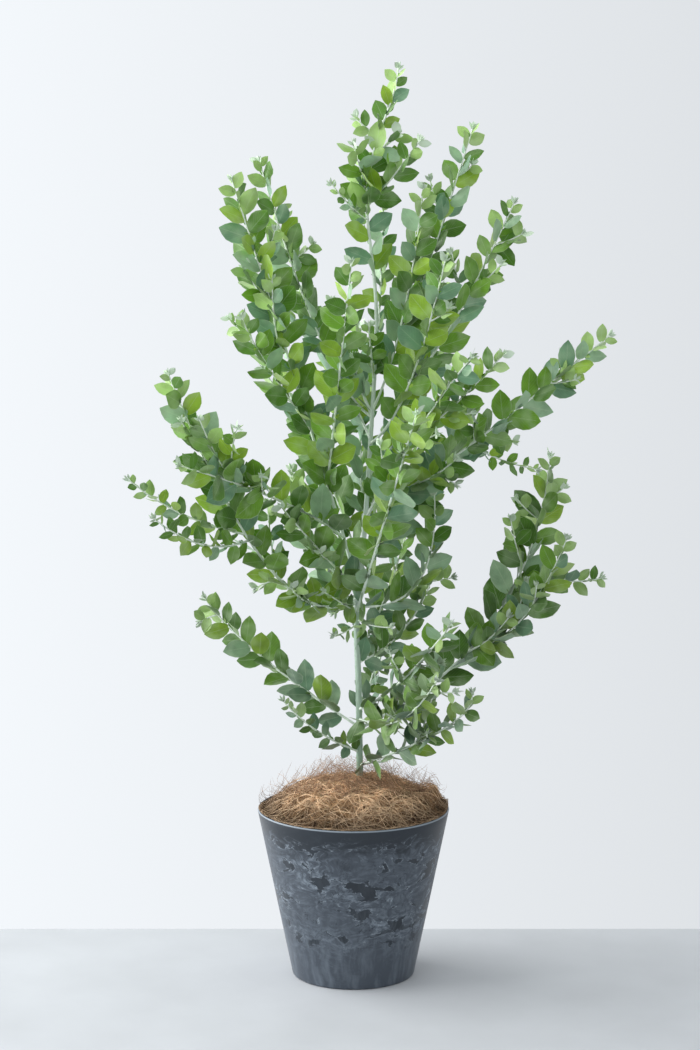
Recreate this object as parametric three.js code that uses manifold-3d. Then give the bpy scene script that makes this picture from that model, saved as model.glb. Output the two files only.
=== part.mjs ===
// Potted pearl acacia: a young silver-green wattle with oval leaves in a round tapered pot.
// Millimetres, +Z up. The origin is the middle of the pot's underside, and -Y is the front.
import * as THREE from 'three';
import { mergeVertices } from 'three/addons/utils/BufferGeometryUtils.js';
import Module from 'manifold-3d';

const wasm = await Module();
wasm.setup();

// Driving dimensions of the pot, its filling and the fibre on top
const POT = { rim: 142.5, base: 90.5, height: 252, wall: 4, floor: 6, foot: 4, lip: 1, sectors: 40 };
const SOIL = { top: 226, play: 0.6, sectors: 32 };
const FIBRE = { radius: 131, edge: 254, crown: 302, dome: 0.8, foot: 11.5, collar: 6.5, rings: 6,
  sectors: 24 };
const LUMPS = { height: 4, lengths: [17, 21, 13, 33], fade: 4 };

// Clearance between neighbours that touch in the real plant, and round every leaf and twig
const GAP = 0.3;
const CLEAR = 0.5;

// The trunk: where its axis passes at some heights, and its radius, which tapers evenly from foot to
// top and flares at the soil
const TRUNK_BENDS = [[10, 0, SOIL.top + GAP], [8, 0, 420], [5, -2, 540], [15, 0, 653], [25, 4, 800],
  [33, 2, 985], [19, 0, 1142], [32, -2, 1232]];
const TRUNK = { foot: 5.2, top: 1.7, flare: 5, flareHeight: 30, sides: 8, rings: 22 };

// Boughs are round limbs. Stems carry leaves, are three-sided and bend about every step.
const BOUGH = { sides: 6, rings: 4 };
const STEM = { sides: 3, step: 60, fewest: 2, tip: 0.9 };

// A leaf: its full size, how its root sinks in, where it is widest and thickest, the spacing and angle
// that it leaves the stem at, how far it shrinks past its ripe wood, and how far chance moves it
const LEAF = { length: 50, width: 32, thick: 1.5, sunk: 0.3, widest: 0.46, thickest: 0.3,
  pitch: 22, crowd: 0.35, angle: 56, lift: 0.12, small: 0.42, ripe: 0.55 };
const STRAY = { turn: 14, lean: 9, twist: 26, length: 0.12 };

// A twig: one to so much leafy stem, the stretch of the stem that carries twigs, the twig's length as
// a share of the stem beyond it, its angle, how it rises, and how slim and small-leaved it is
const TWIG = { every: 190, first: 0.2, last: 0.86, share: 0.32, shortest: 34, longest: 72,
  angle: 48, rise: 0.3, knee: [0.6, 0.35], slim: 0.85, leaf: 0.72 };

// Leaves and twigs follow each other round a stem by this turn in degrees
const TURN = 137.5;

// Each limb: its name and parent, the height where it leaves the parent, its heading in degrees (0 is
// +X, 90 is the back), its reach and rise, its knee as shares of the two, its thickness at the foot,
// and the share of it that is bare bough. The rest of it is the stem of a mass of leaves.
const LIMBS = [
  ['left_lowest', 'trunk', 336, 210, 130, 92, [0.6, 0.35], 3.2, 0],
  ['left_low', 'trunk', 373, 172, 232, 189, [0.76, 0.58], 4, 0.22],
  ['front_lowest', 'trunk', 315, 308, 252, 154, [1.1, 0.73], 3.8, 0],
  ['front_low', 'trunk', 386, 295, 252, 104, [0.56, -0.05], 3.6, 0],
  ['front_right_low', 'trunk', 400, 299, 263, 171, [0.44, 0.25], 4, 0.18],
  ['right_low', 'trunk', 371, 21, 307, 394, [0.92, 0.27], 4.8, 0.24],
  ['right_back_short', 'trunk', 470, 28, 128, 122, [0.7, 0.2], 3, 0],
  ['right_back', 'trunk', 554, 27, 128, 161, [1.1, -0.13], 3.4, 0],
  ['front', 'trunk', 546, 287, 274, 320, [0.48, 0.47], 4.8, 0.12],
  ['left_long', 'trunk', 567, 206, 296, 341, [0.43, -0.21], 4.8, 0.2],
  ['left_short', 'trunk', 577, 219, 143, 138, [0.57, 0.53], 3.2, 0],
  ['left_stem', 'trunk', 582, 183, 183, 595, [0.5, 0.52], 6, 0.6],
  ['left_mid', 'left_stem', 657, 219, 293, 127, [0.34, 0.54], 4.2, 0.14],
  ['inner_front', 'left_stem', 735, 282, 168, 330, [0.3, 0.3], 4, 0],
  ['left_front', 'left_stem', 814, 220, 126, 171, [0.93, 0.81], 3, 0],
  ['left_upper', 'left_stem', 928, 222, 27, 109, [0.92, -0.01], 3, 0],
  ['left_high', 'trunk', 833, 163, 172, 370, [0.4, 0.09], 4, 0.18],
  ['right_long', 'trunk', 694, 6, 361, 257, [0.25, 0.15], 4.6, 0.16],
  ['front_right', 'trunk', 682, 306, 248, 254, [0.58, 0.68], 4.2, 0.18],
  ['right_high_front', 'trunk', 794, 308, 168, 274, [0.54, 0.16], 4.2, 0.46],
  ['right_high', 'right_high_front', 886, 24, 168, 259, [0.37, 0.21], 3.6, 0],
  ['right_upper', 'trunk', 842, 337, 78, 324, [0.7, 0.33], 3.8, 0.45],
  ['right_top', 'right_upper', 958, 29, 123, 294, [0.21, 0.08], 3, 0],
  ['top_right', 'trunk', 1136, 338, 83, 96, [0.35, 0.28], 2.4, 0],
  ['top_left', 'trunk', 1117, 224, 73, 54, [0.5, 0.32], 2.2, 0],
  ['top_back', 'trunk', 1146, 111, 32, 68, [0.56, 0.41], 2.2, 0],
  ['top_front', 'trunk', 1168, 242, 45, 60, [0.58, 0.32], 2.2, 0],
  ['leader_tip', 'trunk', 1232, 26, 36, 104, [0.96, 0.65], 3.4, 0],
  ['back_lowest', 'trunk', 398, 72, 215, 175, [0.6, 0.3], 3.6, 0],
  ['back_low', 'trunk', 484, 70, 235, 165, [0.6, 0.3], 4, 0.2],
  ['back_left_low', 'trunk', 528, 112, 265, 190, [0.6, 0.25], 4.2, 0.2],
  ['back_left', 'trunk', 612, 121, 200, 234, [0.5, 0.6], 4.2, 0.2],
  ['back_right_low', 'trunk', 632, 50, 250, 200, [0.6, 0.3], 4.2, 0.2],
  ['back_middle', 'trunk', 660, 92, 270, 290, [0.6, 0.3], 4.4, 0.2],
  ['back_right', 'trunk', 745, 58, 215, 270, [0.6, 0.3], 4, 0.2],
  ['back_left_high', 'trunk', 800, 125, 180, 212, [0.5, 0.5], 4, 0.2],
  ['back_high', 'trunk', 905, 84, 135, 245, [0.7, 0.3], 3.4, 0],
];

// Side limbs, in the same form, which grow inside the mass of their parent
const SIDE_LIMBS = [
  ['right_low_spray', 'right_low', 579, 346, 128, 9, [0.84, -0.41], 2.6],
  ['right_low_side', 'right_low', 482, 334, 150, 175, [0.56, 0.05], 3.2],
  ['left_spray', 'left_long', 672, 204, 178, 90, [0.6, 0.3], 3],
  ['left_front_spray', 'left_long', 664, 230, 196, 53, [0.47, -0.35], 3],
  ['left_mid_upper', 'left_mid', 751, 201, 55, 95, [0.51, 0.29], 2.4],
  ['left_mid_front', 'left_mid', 755, 284, 51, 82, [0.2, 0.7], 2.2],
  ['right_long_front', 'right_long', 795, 261, 56, 68, [0.53, 0.7], 2.2],
  ['right_long_back', 'right_long', 790, 32, 124, -44, [0.47, 0.7], 2.4],
  ['front_right_spray', 'front_right', 813, 338, 134, 123, [0.42, 0.3], 2.6],
];

// Colours and finish of each kind of surface
const LOOKS = {
  pot: { color: 0x49535e, roughness: 0.6, metalness: 0 },
  soil: { color: 0x33271e, roughness: 1, metalness: 0 },
  fibre: { color: 0x9a7350, roughness: 0.95, metalness: 0 },
  bark: { color: 0xa9c0b0, roughness: 0.85, metalness: 0 },
  foliage: { color: 0x5f8f58, roughness: 0.7, metalness: 0 },
};

const { degToRad, radToDeg, lerp, clamp, smoothstep } = THREE.MathUtils;

// Chance is a number from 0 to 1 that depends only on a seed, what is drawn and a count
const DRAWS = { start: 1, phase: 2, turn: 3, lean: 4, twist: 5, length: 6, twig: 7, twigPhase: 8 };
function chance(seed, draw, count = 0) {
  const wave = Math.sin(seed * 12.9898 + DRAWS[draw] * 37.719 + count * 78.233) * 43758.5453;
  return wave - Math.floor(wave);
}

// Spread is a chance from -1 to 1
const spread = (seed, draw, count) => 2 * chance(seed, draw, count) - 1;

// Turns a geometry into a solid with merged vertices
function solidOf(geometry) {
  const bare = geometry.index ? geometry.toNonIndexed() : geometry.clone();
  bare.deleteAttribute('normal');
  bare.deleteAttribute('uv');
  const merged = mergeVertices(bare, 1e-4);
  return new wasm.Manifold(new wasm.Mesh({
    numProp: 3,
    vertProperties: new Float32Array(merged.attributes.position.array),
    triVerts: new Uint32Array(merged.index.array),
  }));
}

// Turns a solid back into a geometry
function geometryOf(solid) {
  const mesh = solid.getMesh();
  const geometry = new THREE.BufferGeometry();
  geometry.setAttribute('position', new THREE.BufferAttribute(new Float32Array(mesh.vertProperties), 3));
  geometry.setIndex(new THREE.BufferAttribute(new Uint32Array(mesh.triVerts), 1));
  return geometry;
}

// The largest body of a solid: sealed hollows are filled and loose scraps are dropped
function largestBody(solid) {
  return solid.decompose().reduce((best, body) => (body.volume() > best.volume() ? body : best));
}

// The direction that points off a limb at a share of its length, a turn round it from its fixed side
function outward({ curve, side }, share, turn) {
  const across = new THREE.Vector3().crossVectors(curve.getTangentAt(share), side).normalize();
  return side.clone().multiplyScalar(Math.cos(turn)).addScaledVector(across, Math.sin(turn));
}

// A limb: a curve in an upright plane, which tapers from its foot to a thin tip
function growLimb(base, { heading, reach, rise, knee, thick }) {
  const away = new THREE.Vector3(Math.cos(degToRad(heading)), Math.sin(degToRad(heading)), 0);
  const side = new THREE.Vector3(-away.y, away.x, 0);
  const along = (out, up) => base.clone().addScaledVector(away, out * reach).setZ(base.z + up * rise);
  const curve = new THREE.QuadraticBezierCurve3(base, along(...knee), along(1, 1));
  return { curve, side, length: curve.getLength(), radius: (share) => lerp(thick / 2, STEM.tip, share) };
}

// The point of a limb's curve at a height, found by halving
function pointAtHeight({ curve }, height) {
  let [low, high] = [0, 1];
  while (high - low > 1e-7) {
    const middle = (low + high) / 2;
    if (curve.getPoint(middle).z < height) low = middle;
    else high = middle;
  }
  return curve.getPoint(high);
}

// A capped cylinder carried along a limb between two shares of its length, and tapering with it
function limbGeometry(limb, from, to, sides, rings, extra = 0) {
  const geometry = new THREE.CylinderGeometry(1, 1, 1, sides, rings);
  const place = geometry.attributes.position;
  for (let i = 0; i < place.count; i++) {
    const [x, y, z] = [place.getX(i), place.getY(i), place.getZ(i)];
    const share = lerp(from, to, y + 0.5);
    const point = limb.curve.getPointAt(share);
    const spoke = Math.hypot(x, z) * (limb.radius(share) + extra);
    point.addScaledVector(outward(limb, share, Math.atan2(x, z)), spoke);
    place.setXYZ(i, point.x, point.y, point.z);
  }
  return geometry;
}

// The solid of the trunk or of a bough, swollen by some extra radius
function boughSolid(limb, extra = 0) {
  const { sides, rings } = limb === trunk ? TRUNK : BOUGH;
  return solidOf(limbGeometry(limb, 0, limb.bare, sides, rings, extra));
}

// A convex shape for clearance: its points, the direction square to its face, its edges' directions,
// and how far it swells past its points
function convex(points, faces, edges, swell) {
  const centre = points.reduce((sum, p) => sum.add(p), new THREE.Vector3()).divideScalar(points.length);
  const reach = Math.max(...points.map((p) => p.distanceTo(centre))) + swell;
  return { points, faces, edges, swell, centre, reach };
}

// The straight stretches of a limb as convex shapes
function stretches(limb, from, to, rings, owner) {
  return Array.from({ length: rings }, (_, ring) => {
    const [start, end] = [ring, ring + 1].map((count) => lerp(from, to, count / rings));
    const points = [limb.curve.getPointAt(start), limb.curve.getPointAt(end)];
    const edge = points[1].clone().sub(points[0]).normalize();
    return { ...convex(points, [], [edge], limb.radius(start)), owner };
  });
}

// How far apart two convex shapes lie along one direction
function apart(a, b, axis) {
  const [lowA, highA, lowB, highB] = [a, b].flatMap((shape) => {
    const marks = shape.points.map((p) => p.dot(axis));
    return [Math.min(...marks) - shape.swell, Math.max(...marks) + shape.swell];
  });
  return Math.max(lowB - highA, lowA - highB);
}

// True where some direction keeps two convex shapes at least a gap apart
function isClear(a, b, gap) {
  if (a.centre.distanceTo(b.centre) > a.reach + b.reach + gap) return true;
  const between = b.centre.clone().sub(a.centre);
  const cross = (one, other) => new THREE.Vector3().crossVectors(one, other);
  const axes = [
    between,
    ...a.faces,
    ...b.faces,
    ...[...a.edges, ...b.edges].map((edge) => between.clone().projectOnPlane(edge)),
    ...a.edges.flatMap((edge) => [...b.edges, ...b.faces].map((other) => cross(edge, other))),
    ...b.edges.flatMap((edge) => a.faces.map((face) => cross(edge, face))),
  ];
  return axes.some((axis) => axis.length() > 1e-6 && apart(a, b, axis.clone().normalize()) >= gap);
}

// A stem is the leafy stretch of a limb, straight between its rings
function makeStem(limb, from, scale, seed) {
  const rings = Math.max(STEM.fewest, Math.round(((1 - from) * limb.length) / STEM.step));
  return { limb, from, scale, seed, rings };
}

// The point on the axis of a stem at a share of its limb
function onStem({ limb, from, rings }, share) {
  const step = ((share - from) / (1 - from)) * rings;
  const ring = Math.min(Math.floor(step), rings - 1);
  const axisAt = (count) => limb.curve.getPointAt(lerp(from, 1, count / rings));
  return axisAt(ring).lerp(axisAt(ring + 1), step - ring);
}

// The leaves of one stem, by the spiral rule: each a fixed turn on from the last, standing out at an
// angle, smaller towards the tip, with its blade on edge
function leafPlaces(stem) {
  const { limb, from, scale, seed } = stem;
  const phase = 360 * chance(seed, 'phase');
  const places = [];
  let gone = from * limb.length + LEAF.pitch * lerp(0.4, 0.8, chance(seed, 'start'));
  for (let count = 0; gone < limb.length; count++) {
    const share = gone / limb.length;
    const size = scale * lerp(1, LEAF.small, smoothstep(share, LEAF.ripe, 1));
    const turn = degToRad(phase + TURN * count + STRAY.turn * spread(seed, 'turn', count));
    const lean = degToRad(LEAF.angle + STRAY.lean * spread(seed, 'lean', count));
    const tangent = limb.curve.getTangentAt(share);
    const aim = outward(limb, share, turn).multiplyScalar(Math.sin(lean));
    aim.addScaledVector(tangent, Math.cos(lean));
    aim.z += LEAF.lift;
    aim.normalize();
    const blade = new THREE.Vector3().crossVectors(tangent, aim).normalize();
    blade.applyAxisAngle(aim, degToRad(STRAY.twist * spread(seed, 'twist', count)));
    const length = LEAF.length * size * (1 + STRAY.length * spread(seed, 'length', count));
    places.push({ root: onStem(stem, share), aim, blade, length, radius: limb.radius(share) });
    gone += LEAF.pitch * lerp(LEAF.crowd, 1, size);
  }
  return places;
}

// One leaf: a kite, flat below and ridged above, its root sunk past the axis of its stem
function makeLeaf({ root, aim, blade, length, radius }) {
  const across = new THREE.Vector3().crossVectors(blade, aim);
  const at = (out, side, up) => root.clone().addScaledVector(aim, out)
    .addScaledVector(across, side).addScaledVector(blade, up);
  const half = (length * LEAF.width) / LEAF.length / 2;
  const waist = LEAF.widest * length;
  const outline = [at(-LEAF.sunk * radius, 0, 0), at(waist, half, 0), at(length, 0, 0), at(waist, -half, 0)];
  const ridge = at(LEAF.thickest * length, 0, LEAF.thick);
  const edges = outline.map((p, i) => outline[(i + 1) % 4].clone().sub(p).normalize());
  return { outline, ridge, shape: convex([...outline, ridge], [blade], edges, 0) };
}

// The faces of a leaf as a geometry: two below and four above
function leafGeometry({ outline, ridge }) {
  const [root, left, tip, right] = outline;
  const faces = [root, left, tip, root, tip, right];
  outline.forEach((corner, i) => faces.push(ridge, outline[(i + 1) % 4], corner));
  return new THREE.BufferGeometry().setFromPoints(faces);
}

// The twigs of one stem, by the same spiral, each rising out of it
function twigStems(stem) {
  const { limb, from, seed } = stem;
  const number = Math.floor(((1 - from) * limb.length) / TWIG.every);
  return Array.from({ length: number }, (_, count) => {
    const step = (count + chance(seed, 'twig', count)) / number;
    const share = lerp(from, 1, lerp(TWIG.first, TWIG.last, step));
    const turn = degToRad(360 * chance(seed, 'twigPhase') + TURN * count);
    const angle = degToRad(TWIG.angle);
    const aim = outward(limb, share, turn).multiplyScalar(Math.sin(angle));
    aim.addScaledVector(limb.curve.getTangentAt(share), Math.cos(angle));
    const length = clamp(TWIG.share * (1 - share) * limb.length, TWIG.shortest, TWIG.longest);
    const twig = growLimb(onStem(stem, share), {
      heading: radToDeg(Math.atan2(aim.y, aim.x)),
      reach: Math.hypot(aim.x, aim.y) * length,
      rise: (aim.z + TWIG.rise) * length,
      knee: TWIG.knee,
      thick: 2 * TWIG.slim * limb.radius(share),
    });
    return makeStem(twig, 0, TWIG.leaf, seed + 60 * (count + 1));
  });
}

// The trunk
const trunkCurve = new THREE.CatmullRomCurve3(
  TRUNK_BENDS.map((bend) => new THREE.Vector3(...bend)), false, 'catmullrom', 0.5);
const trunk = {
  name: 'trunk',
  curve: trunkCurve,
  side: new THREE.Vector3(0, 1, 0),
  length: trunkCurve.getLength(),
  bare: 1,
  radius(share) {
    const flare = Math.max(0, 1 - (share * this.length) / TRUNK.flareHeight) ** 2;
    return lerp(TRUNK.foot, TRUNK.top, share) + TRUNK.flare * flare;
  },
};

// The limbs, each on its parent, and the masses of leaves that their outer stretches carry
const limbs = { trunk };
const masses = {};
const obstacles = stretches(trunk, 0, 1, TRUNK.rings, 'trunk');
[...LIMBS, ...SIDE_LIMBS].forEach((row, number) => {
  const [name, parent, height, heading, reach, rise, knee, thick, bare = 0] = row;
  const base = pointAtHeight(limbs[parent], height);
  const limb = { name, parent, bare, ...growLimb(base, { heading, reach, rise, knee, thick }) };
  limbs[name] = limb;
  if (number < LIMBS.length) masses[name] = { name, limb, stems: [], leaves: [] };
  const mass = masses[name] ?? masses[parent];
  const stem = makeStem(limb, bare, 1, number + 1);
  mass.stems.push(stem);
  if (bare > 0) obstacles.push(...stretches(limb, 0, bare, BOUGH.rings, `${name} bough`));
  obstacles.push(...stretches(limb, bare, 1, stem.rings, mass.name));
});

// The seeded twigs that find room past their root
const ROOM = { from: 0.3, rings: 2, gap: 2 * CLEAR };
for (const mass of Object.values(masses)) {
  for (const twig of mass.stems.flatMap(twigStems)) {
    const outer = stretches(twig.limb, ROOM.from, 1, ROOM.rings, mass.name);
    if (outer.some((shape) => obstacles.some((other) => !isClear(shape, other, ROOM.gap)))) continue;
    mass.stems.push(twig);
    obstacles.push(...stretches(twig.limb, 0, 1, twig.rings, mass.name));
  }
}

// The leaves that touch no bough, no other mass's stem and no other leaf
const leafShapes = [];
for (const mass of Object.values(masses)) {
  const others = obstacles.filter((shape) => shape.owner !== mass.name);
  for (const leaf of mass.stems.flatMap(leafPlaces).map(makeLeaf)) {
    if ([...others, ...leafShapes].some((other) => !isClear(leaf.shape, other, CLEAR))) continue;
    leafShapes.push(leaf.shape);
    mass.leaves.push(leaf);
  }
}

// The pot: a tapered shell with a rounded foot and a softened lip
function makePot() {
  const outer = (height) => lerp(POT.base, POT.rim, height / POT.height);
  const foot = [0, 30, 60, 90].map((turn) => [
    outer(POT.foot) - POT.foot * (1 - Math.sin(degToRad(turn))),
    POT.foot * (1 - Math.cos(degToRad(turn)))]);
  const lip = POT.height - POT.lip;
  const profile = [
    [0, 0],
    ...foot,
    [outer(lip), lip],
    [POT.rim - POT.lip, POT.height],
    [POT.rim - POT.wall + POT.lip, POT.height],
    [outer(lip) - POT.wall, lip],
    [outer(POT.floor) - POT.wall, POT.floor],
    [0, POT.floor],
  ].map((corner) => new THREE.Vector2(...corner));
  return new THREE.LatheGeometry(profile, POT.sectors).rotateX(Math.PI / 2);
}

// The filling: a plug of soil with a flat top, which the trunk stands on
function makeSoil() {
  const inner = (height) => lerp(POT.base, POT.rim, height / POT.height) - POT.wall - SOIL.play;
  const bed = POT.floor + GAP;
  const profile = [[0, bed], [inner(bed), bed], [inner(SOIL.top), SOIL.top], [0, SOIL.top]]
    .map((corner) => new THREE.Vector2(...corner));
  return new THREE.LatheGeometry(profile, SOIL.sectors).rotateX(Math.PI / 2);
}

// The fibre: a lumpy dome with a flat bed and a hole that closes round the trunk
function makeFibre() {
  const bed = SOIL.top + GAP;
  const profile = [[FIBRE.foot, bed], [FIBRE.radius, bed], [FIBRE.radius, FIBRE.edge]];
  for (let ring = 1; ring <= FIBRE.rings; ring++) {
    const radius = lerp(FIBRE.radius, FIBRE.collar, ring / FIBRE.rings);
    const dome = (1 - (radius / FIBRE.radius) ** 2) ** FIBRE.dome;
    profile.push([radius, lerp(FIBRE.edge, FIBRE.crown, dome)]);
  }
  profile.push(profile[0]);
  const geometry = new THREE.LatheGeometry(profile.map((p) => new THREE.Vector2(...p)), FIBRE.sectors);
  geometry.rotateX(Math.PI / 2);
  const place = geometry.attributes.position;
  const [a, b, c, d] = LUMPS.lengths;
  for (let i = 0; i < place.count; i++) {
    const [x, y, z] = [place.getX(i), place.getY(i), place.getZ(i)];
    const inward = 1 - Math.hypot(x, y) / FIBRE.radius;
    const wave = Math.sin(x / a + 1) * Math.cos(y / b) + Math.sin(y / c + x / d);
    const lump = z > FIBRE.edge ? LUMPS.height * wave * Math.min(1, LUMPS.fade * inward) : 0;
    place.setXYZ(i, x + TRUNK_BENDS[0][0] * inward, y, z + lump);
  }
  return geometry;
}

// The stem, twigs and leaves of one mass fused into one solid, clear of the limb that it stands on
function makeFoliage({ limb, stems, leaves }) {
  const wood = stems.map(({ limb: stem, from, rings }) => (
    solidOf(limbGeometry(stem, from + GAP / stem.length, 1, STEM.sides, rings))));
  const fused = wasm.Manifold.union([...wood, ...leaves.map((leaf) => solidOf(leafGeometry(leaf)))]);
  return limb.bare > 0 ? fused : fused.subtract(boughSolid(limbs[limb.parent], GAP));
}

const plant = new THREE.Group();
function addMesh(name, solid, look) {
  const mesh = new THREE.Mesh(geometryOf(solid), new THREE.MeshStandardMaterial(LOOKS[look]));
  mesh.name = name;
  plant.add(mesh);
}

addMesh('pot', solidOf(makePot()), 'pot');
addMesh('soil', solidOf(makeSoil()), 'soil');
addMesh('fibre', solidOf(makeFibre()), 'fibre');
addMesh('trunk', boughSolid(trunk), 'bark');
for (const limb of Object.values(limbs)) {
  if (limb === trunk || limb.bare === 0) continue;
  const bough = boughSolid(limb).subtract(boughSolid(limbs[limb.parent], GAP));
  addMesh(`bough_${limb.name}`, largestBody(bough), 'bark');
}
for (const mass of Object.values(masses)) {
  addMesh(`foliage_${mass.name}`, largestBody(makeFoliage(mass)), 'foliage');
}

export default plant;
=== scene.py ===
"""Potted pearl acacia: a young silver-green wattle in a marbled slate-grey pot topped with coconut fibre.

The limbs grow by the same seeded rule as the part's own solids, carried on to finer twigs and to leaves
at their real size. Shapes are worked out in millimetres and put into the meshes in metres.
"""

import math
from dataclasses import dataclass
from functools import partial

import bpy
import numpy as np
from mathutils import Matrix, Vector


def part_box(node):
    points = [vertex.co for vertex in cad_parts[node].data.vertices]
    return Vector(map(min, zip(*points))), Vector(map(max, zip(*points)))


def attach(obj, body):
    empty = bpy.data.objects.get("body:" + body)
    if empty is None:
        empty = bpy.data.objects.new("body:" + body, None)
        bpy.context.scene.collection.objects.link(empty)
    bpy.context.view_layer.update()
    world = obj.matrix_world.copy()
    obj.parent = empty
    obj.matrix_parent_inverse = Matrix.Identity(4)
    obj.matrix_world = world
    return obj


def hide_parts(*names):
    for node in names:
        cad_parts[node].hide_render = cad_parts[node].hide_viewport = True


bl_info = {
    "name": "Potted Pearl Acacia",
    "version": (1, 0, 0),
    "blender": (4, 5, 0),
    "location": "View3D > Sidebar > Acacia",
    "description": "Grows a potted pearl acacia round its fixed frame",
    "category": "Add Mesh",
}

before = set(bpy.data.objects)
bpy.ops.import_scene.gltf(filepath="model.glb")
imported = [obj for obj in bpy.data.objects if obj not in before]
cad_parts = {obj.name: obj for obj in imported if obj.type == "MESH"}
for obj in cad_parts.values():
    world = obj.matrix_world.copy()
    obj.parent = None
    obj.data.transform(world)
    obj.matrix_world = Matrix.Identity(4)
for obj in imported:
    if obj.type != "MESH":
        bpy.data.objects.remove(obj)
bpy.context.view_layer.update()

MM = 0.001
BARK_NODES = [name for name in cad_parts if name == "trunk" or name.startswith("bough_")]
FOLIAGE_NODES = [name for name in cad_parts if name.startswith("foliage_")]

# The growing rule, as in the part's source: heights, headings in degrees, sizes in millimetres

SOIL_TOP = 226
GAP = 0.3
TRUNK_BENDS = [[10, 0, SOIL_TOP + GAP], [8, 0, 420], [5, -2, 540], [15, 0, 653], [25, 4, 800],
               [33, 2, 985], [19, 0, 1142], [32, -2, 1232]]
TRUNK = {"foot": 5.2, "top": 1.7, "flare": 5, "flare_height": 30, "leafy": 0.8, "sparse": 1.25,
         "twigs": (0.38, 0.74), "seed": 50}
TIP_RADIUS = 0.9
TURN = 137.5

# Name, parent, height on the parent, heading, reach, rise, knee as shares of the two, thickness, bare share
LIMBS = [
    ("left_lowest", "trunk", 336, 210, 130, 92, (0.6, 0.35), 3.2, 0),
    ("left_low", "trunk", 373, 172, 232, 189, (0.76, 0.58), 4, 0.22),
    ("front_lowest", "trunk", 315, 308, 252, 154, (1.1, 0.73), 3.8, 0),
    ("front_low", "trunk", 386, 295, 252, 104, (0.56, -0.05), 3.6, 0),
    ("front_right_low", "trunk", 400, 299, 263, 171, (0.44, 0.25), 4, 0.18),
    ("right_low", "trunk", 371, 21, 307, 394, (0.92, 0.27), 4.8, 0.24),
    ("right_back_short", "trunk", 470, 28, 128, 122, (0.7, 0.2), 3, 0),
    ("right_back", "trunk", 554, 27, 128, 161, (1.1, -0.13), 3.4, 0),
    ("front", "trunk", 546, 287, 274, 320, (0.48, 0.47), 4.8, 0.12),
    ("left_long", "trunk", 567, 206, 296, 341, (0.43, -0.21), 4.8, 0.2),
    ("left_short", "trunk", 577, 219, 143, 138, (0.57, 0.53), 3.2, 0),
    ("left_stem", "trunk", 582, 183, 183, 595, (0.5, 0.52), 6, 0.6),
    ("left_mid", "left_stem", 657, 219, 293, 127, (0.34, 0.54), 4.2, 0.14),
    ("inner_front", "left_stem", 735, 282, 168, 330, (0.3, 0.3), 4, 0),
    ("left_front", "left_stem", 814, 220, 126, 171, (0.93, 0.81), 3, 0),
    ("left_upper", "left_stem", 928, 222, 27, 109, (0.92, -0.01), 3, 0),
    ("left_high", "trunk", 833, 163, 172, 370, (0.4, 0.09), 4, 0.18),
    ("right_long", "trunk", 694, 6, 361, 257, (0.25, 0.15), 4.6, 0.16),
    ("front_right", "trunk", 682, 306, 248, 254, (0.58, 0.68), 4.2, 0.18),
    ("right_high_front", "trunk", 794, 308, 168, 274, (0.54, 0.16), 4.2, 0.46),
    ("right_high", "right_high_front", 886, 24, 168, 259, (0.37, 0.21), 3.6, 0),
    ("right_upper", "trunk", 842, 337, 78, 324, (0.7, 0.33), 3.8, 0.45),
    ("right_top", "right_upper", 958, 29, 123, 294, (0.21, 0.08), 3, 0),
    ("top_right", "trunk", 1136, 338, 83, 96, (0.35, 0.28), 2.4, 0),
    ("top_left", "trunk", 1117, 224, 73, 54, (0.5, 0.32), 2.2, 0),
    ("top_back", "trunk", 1146, 111, 32, 68, (0.56, 0.41), 2.2, 0),
    ("top_front", "trunk", 1168, 242, 45, 60, (0.58, 0.32), 2.2, 0),
    ("leader_tip", "trunk", 1232, 26, 36, 104, (0.96, 0.65), 3.4, 0),
    ("back_lowest", "trunk", 398, 72, 215, 175, (0.6, 0.3), 3.6, 0),
    ("back_low", "trunk", 484, 70, 235, 165, (0.6, 0.3), 4, 0.2),
    ("back_left_low", "trunk", 528, 112, 265, 190, (0.6, 0.25), 4.2, 0.2),
    ("back_left", "trunk", 612, 121, 200, 234, (0.5, 0.6), 4.2, 0.2),
    ("back_right_low", "trunk", 632, 50, 250, 200, (0.6, 0.3), 4.2, 0.2),
    ("back_middle", "trunk", 660, 92, 270, 290, (0.6, 0.3), 4.4, 0.2),
    ("back_right", "trunk", 745, 58, 215, 270, (0.6, 0.3), 4, 0.2),
    ("back_left_high", "trunk", 800, 125, 180, 212, (0.5, 0.5), 4, 0.2),
    ("back_high", "trunk", 905, 84, 135, 245, (0.7, 0.3), 3.4, 0),
    ("right_low_spray", "right_low", 579, 346, 128, 9, (0.84, -0.41), 2.6, 0),
    ("right_low_side", "right_low", 482, 334, 150, 175, (0.56, 0.05), 3.2, 0),
    ("left_spray", "left_long", 672, 204, 178, 90, (0.6, 0.3), 3, 0),
    ("left_front_spray", "left_long", 664, 230, 196, 53, (0.47, -0.35), 3, 0),
    ("left_mid_upper", "left_mid", 751, 201, 55, 95, (0.51, 0.29), 2.4, 0),
    ("left_mid_front", "left_mid", 755, 284, 51, 82, (0.2, 0.7), 2.2, 0),
    ("right_long_front", "right_long", 795, 261, 56, 68, (0.53, 0.7), 2.2, 0),
    ("right_long_back", "right_long", 790, 32, 124, -44, (0.47, 0.7), 2.4, 0),
    ("front_right_spray", "front_right", 813, 338, 134, 123, (0.42, 0.3), 2.6, 0),
]

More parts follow.
